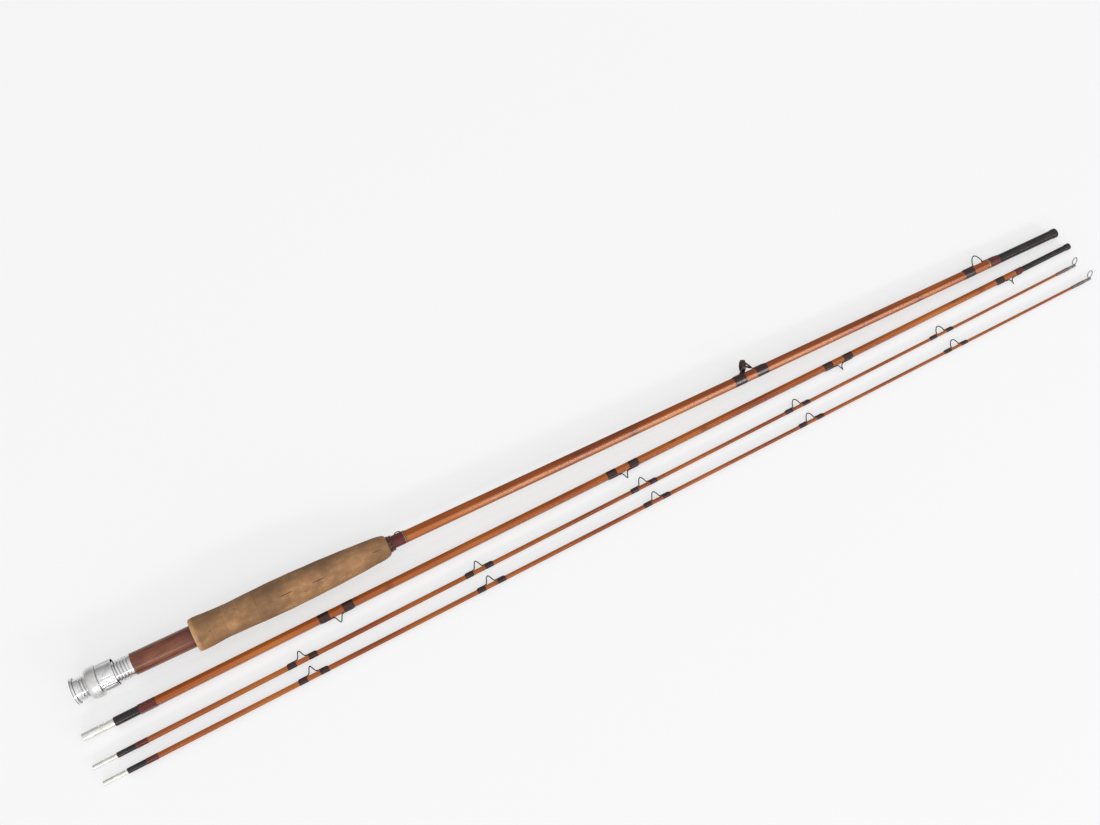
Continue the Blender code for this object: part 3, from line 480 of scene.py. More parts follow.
@dataclass(frozen=True)
class SpacerFinish(Finish):
    """A polished red-brown spacer with a faint grain, more purple towards the grip."""

    name: str = "spacer_red_brown"
    slot: Slot = Slot.SPACER
    brown: Colour = paint(130, 78, 52)
    red: Colour = paint(102, 52, 38)
    purple: Colour = paint(104, 54, 48)
    fade: float = 0.020
    relief: float = 0.00004

    def draw(self, graph: Graph) -> None:
        """The grain is noise drawn out along the seat; the purple grows over the fade's length.

        Args:
            graph: the material's nodes.
        """
        grain = graph.noise((60, 800, 800), 3, 0.6)
        cloud = graph.noise((70, 110, 110), 2)
        share = graph.sum((0.5, grain), (0.6, cloud))
        colour = graph.blend(graph.span(share, 0.38, 0.70), self.red, self.brown)
        near = graph.span(graph.axes()[0], GRIP_REAR - self.fade, GRIP_REAR, 0.0, 0.8)
        graph.dress(Base_Color=graph.blend(near, colour, self.purple))
        graph.dress(Roughness=graph.span(cloud, 0.3, 0.7, 0.30, 0.44), Specular_IOR_Level=0.15)
        graph.dress(Coat_Weight=0.5, Coat_Roughness=0.22)
        graph.bump(grain, self.relief, 0.3)


@dataclass(frozen=True)
class ThreadFinish(Finish):
    """Silk thread wound side by side under varnish, with a trim of another colour where it is marked."""

    colour: Colour
    light: Colour
    trim: Colour = paint(150, 118, 70)
    pitch: float = 0.00026
    relief: float = 0.00004

    def draw(self, graph: Graph) -> None:
        """Each turn is a round ridge: the sine of the place along the rod over the thread's pitch.

        Args:
            graph: the material's nodes.
        """
        wave = graph.math("SINE", graph.math("MULTIPLY", graph.axes()[0], math.tau / self.pitch))
        cloud = graph.noise((260, 420, 420), 2)
        turns = graph.noise((3800, 60, 60), 1)
        share = graph.sum((0.5, cloud), (0.4, turns), (0.12, wave))
        thread = graph.blend(graph.span(share, 0.25, 0.75), self.colour, self.light)
        graph.dress(Base_Color=graph.blend(graph.attribute("trim"), thread, self.trim))
        graph.dress(Roughness=0.38, Coat_Weight=0.6, Coat_Roughness=0.14, Specular_IOR_Level=0.06)
        graph.bump(graph.sum((0.5, wave), (0.8, turns)), self.relief, 0.6)


@dataclass(frozen=True)
class GlossFinish(Finish):
    """A dark glossy ring, clouded like horn."""

    dark: Colour
    light: Colour
    roughness: float
    uneven: float = 0.16
    relief: float = 0.00003

    def draw(self, graph: Graph) -> None:
        """The clouds are plain noise.

        Args:
            graph: the material's nodes.
        """
        cloud = graph.noise((520, 520, 520), 3, 0.6)
        graph.dress(Base_Color=graph.blend(graph.span(cloud, 0.35, 0.68), self.dark, self.light))
        rough = graph.span(cloud, 0.3, 0.7, self.roughness, self.roughness + self.uneven)
        graph.dress(Roughness=rough, Specular_IOR_Level=0.3)
        graph.bump(cloud, self.relief, 0.3)


CANE = CaneFinish()
CORK = CorkFinish()
SPACER = SpacerFinish()
BLACKENED = BlackenedFinish()
POLISHED = MetalFinish(
    "polished_aluminium", Slot.SEAT, paint(230, 230, 230), paint(206, 206, 208), 0.18, 0.15, 0.15)
SATIN = MetalFinish(
    "satin_aluminium", Slot.SEAT, paint(222, 221, 220), paint(204, 203, 203), 0.36, 0.25, 0.15)
# A darker copy of the seat metal for the hood's inside: painted shade.
INSIDE_SHADE = MetalFinish("metal_inside_painted_shade", Slot.SEAT, paint(92, 90, 88), paint(60, 57, 54), 0.55)
GREY_STEEL = MetalFinish("tip_top_steel", Slot.WIRE, paint(150, 148, 146), paint(116, 112, 109), 0.30)
NICKEL = MetalFinish(
    "nickel_slide", Slot.FERRULE, paint(238, 236, 231), paint(214, 211, 204), 0.24, 0.15, 0.15)
WIRE = MetalFinish("wire_steel", Slot.WIRE, paint(84, 82, 80), paint(54, 51, 48), 0.34)
FRAME = MetalFinish("guide_frame", Slot.WIRE, paint(74, 62, 54), paint(44, 36, 31), 0.38)
MAROON = ThreadFinish("silk_maroon", Slot.MAROON, paint(78, 27, 25), paint(112, 44, 37))
GREY = ThreadFinish("silk_grey_brown", Slot.DARK, paint(96, 82, 76), paint(132, 116, 108))
DARK = ThreadFinish("silk_dark", Slot.DARK, paint(42, 21, 19), paint(70, 41, 36))
RING = GlossFinish("ring_agate_brown", Slot.RING, paint(34, 23, 18), paint(66, 44, 33), 0.22)
HORN = GlossFinish("check_horn", Slot.CHECK, paint(54, 30, 23), paint(96, 58, 44), 0.28)


@cache
def finish_material(finish: Finish) -> bpy.types.Material:
    """Draws a finish's material the first time it is asked for.

    Args:
        finish: the finish.

    Returns:
        Its material.
    """
    material = bpy.data.materials.new(finish.name)
    finish.draw(Graph(material))
    return material


# Shapes


@dataclass
class Shape:
    """A surface in a section's own frame: points, faces, and what each face carries."""

    points: Array
    quads: Array
    tris: Array
    finish: Array
    tags: dict[str, Array] = field(default_factory=dict)

    def tagged(self, name: str, values: Array) -> "Shape":
        """Gives the quads numbers under a name.

        Args:
            name: the attribute's name.
            values: a number for each quad, or for each row of quads.

        Returns:
            The shape. Its closing triangles get nought.
        """
        each = np.repeat(values.ravel(), len(self.quads) // values.size)
        self.tags[name] = np.concatenate([each, np.zeros(len(self.tris))])
        return self

    def moved(self, turn: Array, offset: Sequence[float]) -> "Shape":
        """Turns the points by a matrix and moves them."""
        self.points = self.points @ turn.T + np.array(offset)
        return self


def skin(grid: Array, closed: bool, finish: Array | None = None) -> Shape:
    """Faces a grid of rings.

    Neighbouring points of neighbouring rings make a quad, and each ring closes on itself. If the rings
    close too, the last joins the first; if not, each end is closed by a fan to the end ring's middle.

    Args:
        grid: points by ring and place in the ring.
        closed: whether the rings run round in a loop.
        finish: the finish's number for each row of quads, all nought if not given.

    Returns:
        The shape.
    """
    rings, sides = grid.shape[:2]
    index = np.arange(rings * sides).reshape(rings, sides)
    near = index if closed else index[:-1]
    far = np.roll(index, -1, axis=0) if closed else index[1:]
    quads = np.stack([near, far, np.roll(far, -1, 1), np.roll(near, -1, 1)], -1).reshape(-1, 4)
    rows = np.zeros(len(near), int) if finish is None else np.asarray(finish, int)
    points = grid.reshape(-1, 3)
    tris = np.zeros((0, 3), int)
    numbers = np.repeat(rows, sides)
    if not closed:
        points = np.vstack([points, grid[0].mean(axis=0), grid[-1].mean(axis=0)])
        first, last = index[0], index[-1]
        rear = np.stack([np.full(sides, rings * sides), first, np.roll(first, -1)], -1)
        front = np.stack([np.full(sides, rings * sides + 1), np.roll(last, -1), last], -1)
        tris = np.vstack([rear, front])
        numbers = np.concatenate([numbers, np.repeat([rows[0], rows[-1]], sides)])
    return Shape(points, quads, tris, numbers)


def joined(shapes: Sequence[Shape]) -> Shape:
    """Puts several shapes together.

    Args:
        shapes: the shapes, whose finishes and tags are dropped.

    Returns:
        One shape with all their points and faces.
    """
    starts = np.cumsum([0] + [len(shape.points) for shape in shapes[:-1]])
    points = np.vstack([shape.points for shape in shapes])
    quads = np.vstack([shape.quads + start for shape, start in zip(shapes, starts)])
    tris = np.vstack([shape.tris + start for shape, start in zip(shapes, starts)])
    return Shape(points, quads, tris, np.zeros(len(quads) + len(tris), int))


def around(sides: int) -> Array:
    """Even angles round a ring."""
    return np.arange(sides) * math.tau / sides


def off_zero(angle: Array) -> Array:
    """How far an angle is from 0, whichever way round."""
    return np.minimum(angle, math.tau - angle)


def middles(values: Array, closed: bool) -> Array:
    """The middle of each two neighbours in a row, and of the last and the first if it is closed."""
    return (values + np.roll(values, -1, axis=0)) / 2 if closed else (values[1:] + values[:-1]) / 2


def rings_at(x: Array, radius: Array, sides: int) -> Array:
    """Rings round the axis: a point is (x, r sin a, r cos a).

    Args:
        x: each ring's place.
        radius: each ring's radius r, or one for each angle a in it.
        sides: points in a ring.

    Returns:
        The points by ring and place in the ring.
    """
    angle = around(sides)
    reach = np.broadcast_to(radius.reshape(len(x), -1), (len(x), sides))
    place = np.broadcast_to(x[:, None], reach.shape)
    return np.stack([place, reach * np.sin(angle), reach * np.cos(angle)], -1)


def fillet(outline: Sequence[Sequence[float]], radius: float, closed: bool, steps: int = 5) -> Array:
    """Rounds the corners of an outline.

    A corner P becomes the curve (1-t)² A + 2t(1-t) P + t² B, where A and B lie on its two sides, one
    radius from it or a little under half the side.

    Args:
        outline: (x, radius) points.
        radius: how far the rounding reaches from a corner.
        closed: whether the last point joins the first; if not, the two ends stay.
        steps: points on each corner.

    Returns:
        The points of the rounded outline.
    """
    corner = np.array(outline, float)
    t = np.linspace(0, 1, steps)[:, None, None]
    ends = []
    for shift in (1, -1):
        side = np.roll(corner, shift, axis=0) - corner
        length = np.linalg.norm(side, axis=1, keepdims=True)
        ends.append(corner + side / length * np.minimum(radius, 0.45 * length))
    curve = ((1 - t) ** 2 * ends[0] + 2 * t * (1 - t) * corner + t * t * ends[1]).transpose(1, 0, 2)
    if closed:
        return curve.reshape(-1, 2)
    return np.vstack([corner[:1], curve[1:-1].reshape(-1, 2), corner[-1:]])


def turned(outline: Array, closed: bool, sides: int = TURNED_SIDES, finish: Array | None = None) -> Shape:
    """A solid turned about the axis from an outline of (x, radius) points."""
    return skin(rings_at(outline[:, 0], outline[:, 1], sides), closed, finish)


def swept(path: Array, radii: Array, aside: Array, sides: int = 14) -> Shape:
    """A round wire along a path.

    A ring is the path's point plus r (cos a · n + sin a · b), where n is the part of aside across the
    path and b is across both.

    Args:
        path: points along the wire.
        radii: the wire's radius r at each point.
        aside: a direction at each point that isn't along the wire.
        sides: points round the wire.

    Returns:
        The wire, with closed ends.
    """
    along = np.gradient(path, axis=0)
    along /= np.linalg.norm(along, axis=1, keepdims=True)
    normal = aside - (aside * along).sum(axis=1, keepdims=True) * along
    normal /= np.linalg.norm(normal, axis=1, keepdims=True)
    cross = np.cross(normal, along)
    angle = around(sides)[None, :, None]
    ring = np.cos(angle) * normal[:, None] + np.sin(angle) * cross[:, None]
    return skin(path[:, None] + radii[:, None, None] * ring, closed=False)


def eased_path(points: Sequence[Sequence[float]], count: int, passes: int) -> Array:
    """Cuts a polyline into even steps and rounds it.

    Args:
        points: the polyline's corners.
        count: points on the path.
        passes: how often each inner point is averaged with its neighbours.

    Returns:
        The path's points.
    """
    corner = np.array(points, float)
    reach = np.concatenate([[0], np.cumsum(np.linalg.norm(np.diff(corner, axis=0), axis=1))])
    even = np.linspace(0, reach[-1], count)
    path = np.stack([np.interp(even, reach, corner[:, axis]) for axis in range(corner.shape[1])], -1)
    for _ in range(passes):
        path[1:-1] = (path[:-2] + 2 * path[1:-1] + path[2:]) / 4
    return path


def leaned(angle: float) -> Array:
    """The matrix that leans a ring's axis from the rod's +X towards -Z."""
    return np.array(Matrix.Rotation(angle, 3, "Y"))


# Sections and pieces


@dataclass(frozen=True)
class SectionFrame:
    """Where a section lies: the place of its butt end, and its turns in degrees."""

    origin: tuple[float, float, float]
    heading: float
    tilt: float
    roll: float

    def to_world(self, points: Array) -> Array:
        """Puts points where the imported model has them: rolled, tilted, headed, then moved.

        Args:
            points: points in the section's own frame.

        Returns:
            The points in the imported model's frame.
        """
        turn = np.eye(3)
        for angle, axis in ((self.heading, "Z"), (self.tilt, "Y"), (self.roll, "X")):
            turn = turn @ np.array(Matrix.Rotation(math.radians(angle), 3, axis))
        return points @ turn.T + np.array(self.origin)


@dataclass(frozen=True)
class Cane:
    """A six-sided taper: half the distance across its flats at two places."""

    rear: float
    rear_half: float
    front: float
    front_half: float

    def half_flat(self, x: Array) -> Array:
        """Half the distance across the flats, on a straight line through the two places."""
        share = (np.asarray(x, float) - self.rear) / (self.front - self.rear)
        return self.rear_half + (self.front_half - self.rear_half) * share

    def corner(self, x: Array) -> Array:
        """The distance from the axis to a corner."""
        return self.half_flat(x) / COS_30

    def foot_height(self, x: Array) -> Array:
        """The height of a guide foot's middle over the axis."""
        return self.half_flat(x) + GLUE_FIT + FOOT_RADIUS


BUTT_CANE = Cane(0.0, 0.0051, 0.8538, 0.00395)
MID_CANE = Cane(0.0437, 0.00355, 0.8747, 0.002525)
TIP_CANE = Cane(0.0328, 0.002125, 0.9220, 0.0011)
BUTT_FRAME = SectionFrame((-0.457194, 0.028332, 0.015232), 0.0, 0.684837, -75.0)
MID_FRAME = SectionFrame((-0.464294, -0.003268, 0.004507), 0.901, 0.081605, 93.0)
TIP_A_FRAME = SectionFrame((-0.464594, -0.027068, 0.002819), 1.216, 0.034855, -68.0)
TIP_B_FRAME = SectionFrame((-0.461394, -0.041368, 0.002819), 1.022, 0.034855, -68.0)


@dataclass(frozen=True)
class Maker:
    """Puts shapes of one section into the scene as pieces that ride on a body."""

    place: SectionFrame
    body: Body

    def piece(self, name: str, shape: Shape, *finishes: Finish, node: str | None = None,
              body: Body | None = None) -> None:
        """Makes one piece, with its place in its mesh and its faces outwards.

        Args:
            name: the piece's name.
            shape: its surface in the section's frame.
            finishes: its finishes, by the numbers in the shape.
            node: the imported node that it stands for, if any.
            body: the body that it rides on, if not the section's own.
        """
        points = self.place.to_world(shape.points)
        fans = np.vstack([shape.quads[:, [0, 1, 2]], shape.quads[:, [0, 2, 3]], shape.tris])
        corners = points[fans] - points.mean(axis=0)
        volume = (corners[:, 0] * np.cross(corners[:, 1], corners[:, 2])).sum()
        order = 1 if volume > 0 else -1
        mesh = bpy.data.meshes.new(name)
        faces = shape.quads[:, ::order].tolist() + shape.tris[:, ::order].tolist()
        mesh.from_pydata(points.tolist(), [], faces)
        mesh.polygons.foreach_set("material_index", shape.finish.astype(np.int32))
        local = mesh.attributes.new("local", "FLOAT_VECTOR", "POINT")
        local.data.foreach_set("vector", shape.points.astype(np.float32).ravel())
        for tag, values in shape.tags.items():
            mesh.attributes.new(tag, "FLOAT", "FACE").data.foreach_set("value", values.astype(np.float32))
        for finish in finishes:
            mesh.materials.append(finish_material(finish))
        mesh.shade_smooth()
        mesh.set_sharp_from_angle(angle=SHARP_ANGLE)
        mesh.update()
        made = bpy.data.objects.new(name, mesh)
        bpy.context.scene.collection.objects.link(made)
        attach(made, (body or self.body).value)
        if node:
            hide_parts(node)
        LOG.info("%s: %d faces", name, len(faces))

    def stand_in(self, node: str, shape: Shape, *finishes: Finish, body: Body | None = None) -> None:
        """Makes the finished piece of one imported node."""
        self.piece(f"{node}_finished", shape, *finishes, node=node, body=body)


@dataclass(frozen=True)
class Blank:
    """A length of cane between two places."""

    cane: Cane
    start: float
    end: float
    rounding: float = 12.0
    fill: float = 1.012
    tone_step: int = 7
    rings: int = 140
    sides: int = 60

    def shape(self) -> Shape:
        """A hexagon with rounded corners carried along the rod.

        The reach at angle a is the half flat over the p-mean of the six flats' cosines, where a higher p
        makes the corners sharper.

        Returns:
            The blank, whose faces carry the number of their strip.
        """
        x = np.linspace(self.start, self.end, self.rings)
        angle = around(self.sides)
        flats = np.arange(FLATS) * math.pi / 3
        lean = np.clip(np.cos(angle[:, None] - flats), 1e-6, 1)
        reach = self.fill * (lean**self.rounding).sum(axis=1) ** (-1 / self.rounding)
        grid = rings_at(x, self.cane.half_flat(x)[:, None] * reach, self.sides)
        middle = angle + math.pi / self.sides + math.pi / 6
        strip = np.floor(middle % math.tau / (math.pi / 3)) + self.tone_step * self.start * MILLIMETRES
        return skin(grid, closed=False).tagged("strip", np.tile(strip, self.rings - 1))


@dataclass(frozen=True)
class Wrap:
    """Thread wound round the cane, over a guide's foot where there is one."""

    cane: Cane
    start: float
    end: float
    foot: tuple[float, float] | None = None
    trims: tuple[tuple[float, float], ...] = ()
    thick: float = 0.00013
    edge: float = 0.00035
    foot_fade: float = 0.0022
    sunk: float = 0.00015
    rings: int = 56
    points_per_side: int = 7
    passes: int = 2

    def shape(self) -> Shape:
        """An outline of the cane's corners and two points over the foot, carried along the wrap.

        The thread's thickness rises at each end like a quarter circle. The foot's height eases away past
        its toe. Points are put evenly on the outline's sides and then averaged with their neighbours.

        Returns:
            The wrap, with the trim tag on its trims.
        """
        share = (1 - np.cos(math.pi * np.linspace(0, 1, self.rings))) / 2
        x = self.start + (self.end - self.start) * share
        near = np.clip(np.minimum(x - self.start, self.end - x) / self.edge, 0, 1)
        grow = self.thick * quarter_round(near)
        x = np.concatenate([x, x[::-1]])
        grow = np.concatenate([grow, np.full(self.rings, -self.sunk)])
        lift = np.zeros_like(x)
        if self.foot:
            low, high = self.foot
            lift = smooth((x - low) / self.foot_fade + 1) * smooth((high - x) / self.foot_fade + 1)
        half = self.cane.half_flat(x) + grow
        turn = (np.arange(FLATS) * 2 + 1) * math.pi / 6
        corner = np.stack([np.sin(turn), np.cos(turn)], -1) * (half / COS_30)[:, None, None]
        wide = FOOT_RADIUS + np.abs(grow)
        top = half + lift * (2 * FOOT_RADIUS + GLUE_FIT)
        ridge = np.stack([np.stack([wide, top], -1), np.stack([-wide, top], -1)], 1)
        outline = np.concatenate([ridge[:, :1], corner, ridge[:, 1:]], axis=1)
        t = (np.arange(self.points_per_side) / self.points_per_side)[:, None]
        sides = outline[:, :, None] * (1 - t) + np.roll(outline, -1, axis=1)[:, :, None] * t
        ring = sides.reshape(len(x), -1, 2)
        for _ in range(self.passes):
            ring = (np.roll(ring, 1, axis=1) + 2 * ring + np.roll(ring, -1, axis=1)) / 4
        grid = np.concatenate([np.broadcast_to(x[:, None, None], (*ring.shape[:2], 1)), ring], -1)
        middle = middles(x, closed=True)
        trim = np.zeros_like(x)
        for low, high in self.trims:
            trim = np.maximum(trim, (middle > low) & (middle < high))
        return skin(grid, closed=True).tagged("trim", trim)


@dataclass(frozen=True)
class GuideFeet:
    """A guide's two feet, each under a wrap of its own, with a gap between the wraps."""

    gap: float
    wrap: float
    foot: float

    def wraps(self, cane: Cane, middle: float) -> tuple[Wrap, Wrap]:
        """Winds the thread on the feet.

        Args:
            cane: the cane that they lie on.
            middle: the place half way along the gap.

        Returns:
            The rear wrap and the front one.
        """
        rear, front = middle - self.gap / 2, middle + self.gap / 2
        return (Wrap(cane, rear - self.wrap, rear, (rear - self.foot, rear + self.gap)),
                Wrap(cane, front, front + self.wrap, (front - self.gap, front + self.foot)))


@dataclass(frozen=True)
class SnakeGuide(GuideFeet):
    """A guide of one wire: a foot, one turn that stands off the cane, and a second foot."""

    height: float
    half_width: float
    span: float
    wire: float
    ease: float = math.radians(60)
    peak: float = 2.6
    toe: float = 0.8
    turn_steps: int = 97
    foot_steps: int = 18

    def shape(self, cane: Cane, crest: float) -> Shape:
        """The wire round one turn of angle a, from 0 to a whole turn.

        Its place along the rod grows evenly, it goes aside by the sine of a, eased near the feet, and
        it rises by a power of the sine of a half. Each foot lies along the cane and is drawn down to its toe.

        Args:
            cane: the cane that it stands on.
            crest: the place of its highest point.

        Returns:
            The guide.
        """
        a = np.linspace(0, math.tau, self.turn_steps)
        x = crest + self.span / 2 * (a / math.pi - 1)
        y = self.half_width * np.sin(a) * smooth(off_zero(a) / self.ease)
        rise = self.wire + (self.height - 2 * self.wire) * np.abs(np.sin(a / 2)) ** self.peak
        aside = np.stack([np.zeros_like(a), np.sin(a), -np.cos(a)], -1)
        reach = np.linspace(self.gap / 2 + self.foot, self.span / 2, self.foot_steps)[:-1]
        marks = [self.span / 2, self.gap / 2, self.gap / 2 + self.foot]
        thin = np.interp(reach, marks, [self.wire, FOOT_RADIUS, FOOT_RADIUS * self.toe])
        lift = np.interp(reach, marks, [self.wire, FOOT_RADIUS, FOOT_RADIUS])
        place = np.concatenate([crest - reach, x, crest + reach[::-1]])
        across = np.concatenate([0 * reach, y, 0 * reach])
        up = cane.half_flat(place) + GLUE_FIT + np.concatenate([lift, rise, lift[::-1]])
        radii = np.concatenate([thin, np.full_like(a, self.wire), thin[::-1]])
        down = np.broadcast_to([0.0, 0.0, -1.0], (len(reach), 3))
        return swept(np.stack([place, across, up], -1), radii, np.concatenate([down, aside, down]))


@dataclass(frozen=True)
class FemaleFerrule:
    """A blackened tube with a rolled welt at its mouth."""

    front: float
    length: float
    radius: float
    bore: float
    depth: float
    welt: float = 0.0042
    welt_height: float = 0.00040
    rounding: float = 0.00042
    worn: float = 0.70
    worn_reach: float = 0.0011
    worn_fade: float = 0.0007

    def shape(self) -> Shape:
        """A tube turned from its outline.

        Returns:
            The ferrule, whose worn tag is high at the rim of the mouth, worn bright there and partly a
            painted glint.
        """
        rear, front = self.front - self.length, self.front
        raised = self.radius + self.welt_height
        outline = fillet([
            (front - self.depth, self.bore), (front, self.bore), (front, raised),
            (front - self.welt, raised), (front - self.welt - 0.0004, self.radius),
            (rear + 0.0006, self.radius), (rear, self.radius - 0.00025), (rear, self.radius - 0.0005),
            (front - self.depth - 0.001, self.radius - 0.0006),
        ], self.rounding, closed=True, steps=7)
        x, r = middles(outline, closed=True).T
        # The mouth's rim is worn bright, partly as a painted glint.
        near = smooth((x - front + self.worn_reach) / self.worn_fade)
        return turned(outline, True).tagged("worn", near * (r > self.bore + 0.0001) * self.worn)


@dataclass(frozen=True)
class MaleFerrule:
    """A ferrule's bright slide and its blackened body."""

    slide_radius: float
    slide_length: float
    body_length: float
    step: float = 0.0003
    rounding: float = 0.0003
    bright_edge: float = 0.0002
    worn: float = 0.5
    worn_fade: float = 0.0012

    def shape(self) -> Shape:
        """A stepped rod turned from its outline.

        Returns:
            The ferrule, with the slide's rows in the first finish and the body's in the second.
        """
        radius = self.slide_radius + self.step
        end = self.slide_length + self.body_length
        outline = fillet([
            (0.0, self.slide_radius * 0.55), (0.0, self.slide_radius),
            (self.slide_length, self.slide_radius), (self.slide_length, radius),
            (end, radius), (end, radius * 0.6),
        ], self.rounding, closed=False, steps=6)
        x = middles(outline[:, 0], closed=False)
        finish = (x > self.slide_length - self.bright_edge).astype(int)
        worn = self.worn * smooth(1 - (x - self.slide_length) / self.worn_fade) * finish
        return turned(outline, False, finish=finish).tagged("worn", worn)


@dataclass(frozen=True)
class ReelSeat:
    """The screw-locking seat: cap, threaded barrel, lock nut, sliding hood and spacer."""

    barrel_radius: float = 0.0088
    bore: float = 0.00755
    flange_radius: float = 0.0104
    flange_thick: float = 0.0020
    skirt_front: float = 0.0052
    plug_front: float = 0.0107
    barrel_front: float = 0.0457
    collar: float = 0.0018
    pitch: float = 0.0024
    depth: float = 0.00055
    thread_shape: float = 1.6
    thread_start: float = 0.0008
    thread_end: float = 0.0010
    steps_per_turn: int = 20
    # How dark the painted shade in the corner, the painted dark reflection on the cap's rear rim and the
    # painted shade in the thread are, and the share of the thread's depth that stays unshaded.
    painted_hollow_shade: float = 0.85
    painted_rim_dark_reflection: float = 0.75
    painted_thread_shade: float = 0.6
    shade_free_depth: float = 0.25
    nut_rear: float = 0.0110
    nut_length: float = 0.0087
    nut_radius: float = 0.0123
    nut_lip: float = 0.0101
    nut_dome: float = 0.0055
    dome_start: float = 0.06
    dome_steps: int = 14
    slide_bore: float = 0.0091
    hood_rear: float = 0.0200
    hood_length: float = 0.0120
    hood_back: float = 0.0095
    hood_pocket: float = 0.0109
    hood_wall: float = 0.0009
    hood_web: float = 0.0030
    hood_lip: float = 0.00022
    hood_sides: int = 288
    pocket_end: float = math.radians(40)
    pocket_blend: float = math.radians(12)
    groove_pitch: float = math.radians(15)
    groove_width: float = math.radians(3.0)
    groove_depth: float = 0.0003
    groove_fade: float = 0.0012
    spacer_radius: float = 0.0087
    spacer_bore: float = 0.0062
    spacer_front: float = 0.1070

    def cap(self) -> Shape:
        """The flanged end cap, turned from its outline with a dished rear face.

        Returns:
            The cap, with painted shade in the corner in front of the flange and a painted dark reflection on
            the flange's rear rim.
        """
        rim = self.flange_radius
        outline = fillet([
            (0.0006, 0.0020), (0.0005, rim * 0.72), (0.0, rim * 0.78), (0.0, rim - 0.0002), (0.0003, rim),
            (self.flange_thick, rim), (self.flange_thick, self.barrel_radius),
            (self.skirt_front, self.barrel_radius), (self.skirt_front, self.bore),
            (self.plug_front, self.bore - GLUE_FIT),
        ], 0.00025, closed=False)
        x, r = middles(outline, closed=False).T
        # Painted shade in the corner in front of the flange, and a painted dark reflection on the flange's
        # rear rim.
        hollow = (np.abs(x - self.flange_thick - 0.0002) < 0.0005) & (r < rim - 0.0003)
        edge = (x < 0.0005) & (r > rim - 0.0012)
        painted_shade = self.painted_hollow_shade * hollow + self.painted_rim_dark_reflection * edge
        return turned(outline, False, SEAT_SIDES).tagged("painted_shade", painted_shade)

    def barrel(self) -> Shape:
        """The threaded tube.

        The reach is the crest less the depth times a power of the squared half sine of the phase, which
        grows by one turn in each pitch along the barrel and by one turn round it: a right-hand thread.

        Returns:
            The barrel, with painted shade that grows with the thread's depth.
        """
        start = self.skirt_front + GLUE_FIT
        end = self.barrel_front - self.collar
        x = np.linspace(start, end, round((end - start) / self.pitch * self.steps_per_turn))
        phase = math.tau * (x[:, None] - start) / self.pitch + around(SEAT_SIDES)
        fade = smooth((x - start) / self.thread_start) * smooth((end - x) / self.thread_end)
        cut = self.depth * ((1 - np.cos(phase)) / 2) ** self.thread_shape
        reach = self.barrel_radius - cut * fade[:, None]
        tail = fillet([
            (end, self.barrel_radius), (self.barrel_front, self.barrel_radius),
            (self.barrel_front, self.bore), (start, self.bore),
        ], 0.0002, closed=False)[1:]
        tail_reach = np.broadcast_to(tail[:, 1:], (len(tail), SEAT_SIDES))
        # Painted shade in the thread's valleys, growing with their depth.
        painted_shade = self.painted_thread_shade * smooth((self.barrel_radius - reach) / self.depth - self.shade_free_depth)
        grid = rings_at(np.concatenate([x, tail[:, 0]]), np.vstack([reach, tail_reach]), SEAT_SIDES)
        return skin(grid, True).tagged("painted_shade", np.vstack([painted_shade, np.zeros_like(tail_reach)]))

    def nut(self) -> Shape:
        """The domed lock nut, turned from an outline whose rear rises like a quarter ellipse.

        Returns:
            The nut.
        """
        turn = np.linspace(self.dome_start, 1, self.dome_steps) * math.pi / 2
        rise = (self.nut_radius - self.nut_lip) * np.sin(turn)
        dome = np.stack([self.nut_dome * (1 - np.cos(turn)), self.nut_lip + rise], -1)
        edge = self.nut_length
        rear = fillet([(0.0, self.slide_bore), (0.0, self.nut_lip), dome[0]], 0.0003, closed=False)
        front = fillet([dome[-1], (edge, self.nut_radius), (edge, self.slide_bore)], 0.0006, closed=False)
        outline = np.vstack([rear, dome[1:], front[1:]])
        outline[:, 0] += self.nut_rear
        return turned(outline, True, SEAT_SIDES)

    def hood(self) -> Shape:
        """The sliding hood: high over the reel's foot on the guide side, low and grooved on its back.

        Over an angle the pocket's height eases to the back's. Each groove is a bell curve round its own
        angle, and fades out before the hood's ends.

        Returns:
            The hood, with its inside in the second finish, a darker metal that is painted shade.
        """
        angle = around(self.hood_sides)
        off = off_zero(angle)
        share = smooth((self.pocket_end - off) / self.pocket_blend)
        from_groove = (angle / self.groove_pitch) % 1 - 0.5
        groove = bell(from_groove * self.groove_pitch, self.groove_width) * (off > math.pi / 2)
        length, wall, lip = self.hood_length, self.hood_wall, -self.hood_lip
        outer = fillet([(lip, 0.0), (lip, wall * 0.8), (wall * 0.6, wall), (length, wall), (length, 0.0)],
                       0.0004, closed=False, steps=6)
        body = np.linspace(0.15, 0.85, 9)[:, None] * [length, 0] + [0, wall]
        cut = int(np.argmax(outer[:, 0] > length / 2))
        outer = np.vstack([outer[:cut], body, outer[cut:]])
        place = outer[:, 0]
        fade = smooth((place - wall) / self.groove_fade)
        fade = fade * smooth((length - wall * 0.7 - place) / self.groove_fade)
        base = self.hood_back + (self.hood_pocket - self.hood_back) * share
        reach = base + outer[:, 1:] - self.groove_depth * groove * fade[:, None]
        bore = np.full(self.hood_sides, self.slide_bore)
        x = np.concatenate([place, [self.hood_web, self.hood_web, 0.0]]) + self.hood_rear
        # The inside rows take the darker metal, as painted shade.
        finish = (np.arange(len(x)) >= len(outer) - 1).astype(int)
        return skin(rings_at(x, np.vstack([reach, base, bore, bore]), self.hood_sides), True, finish)

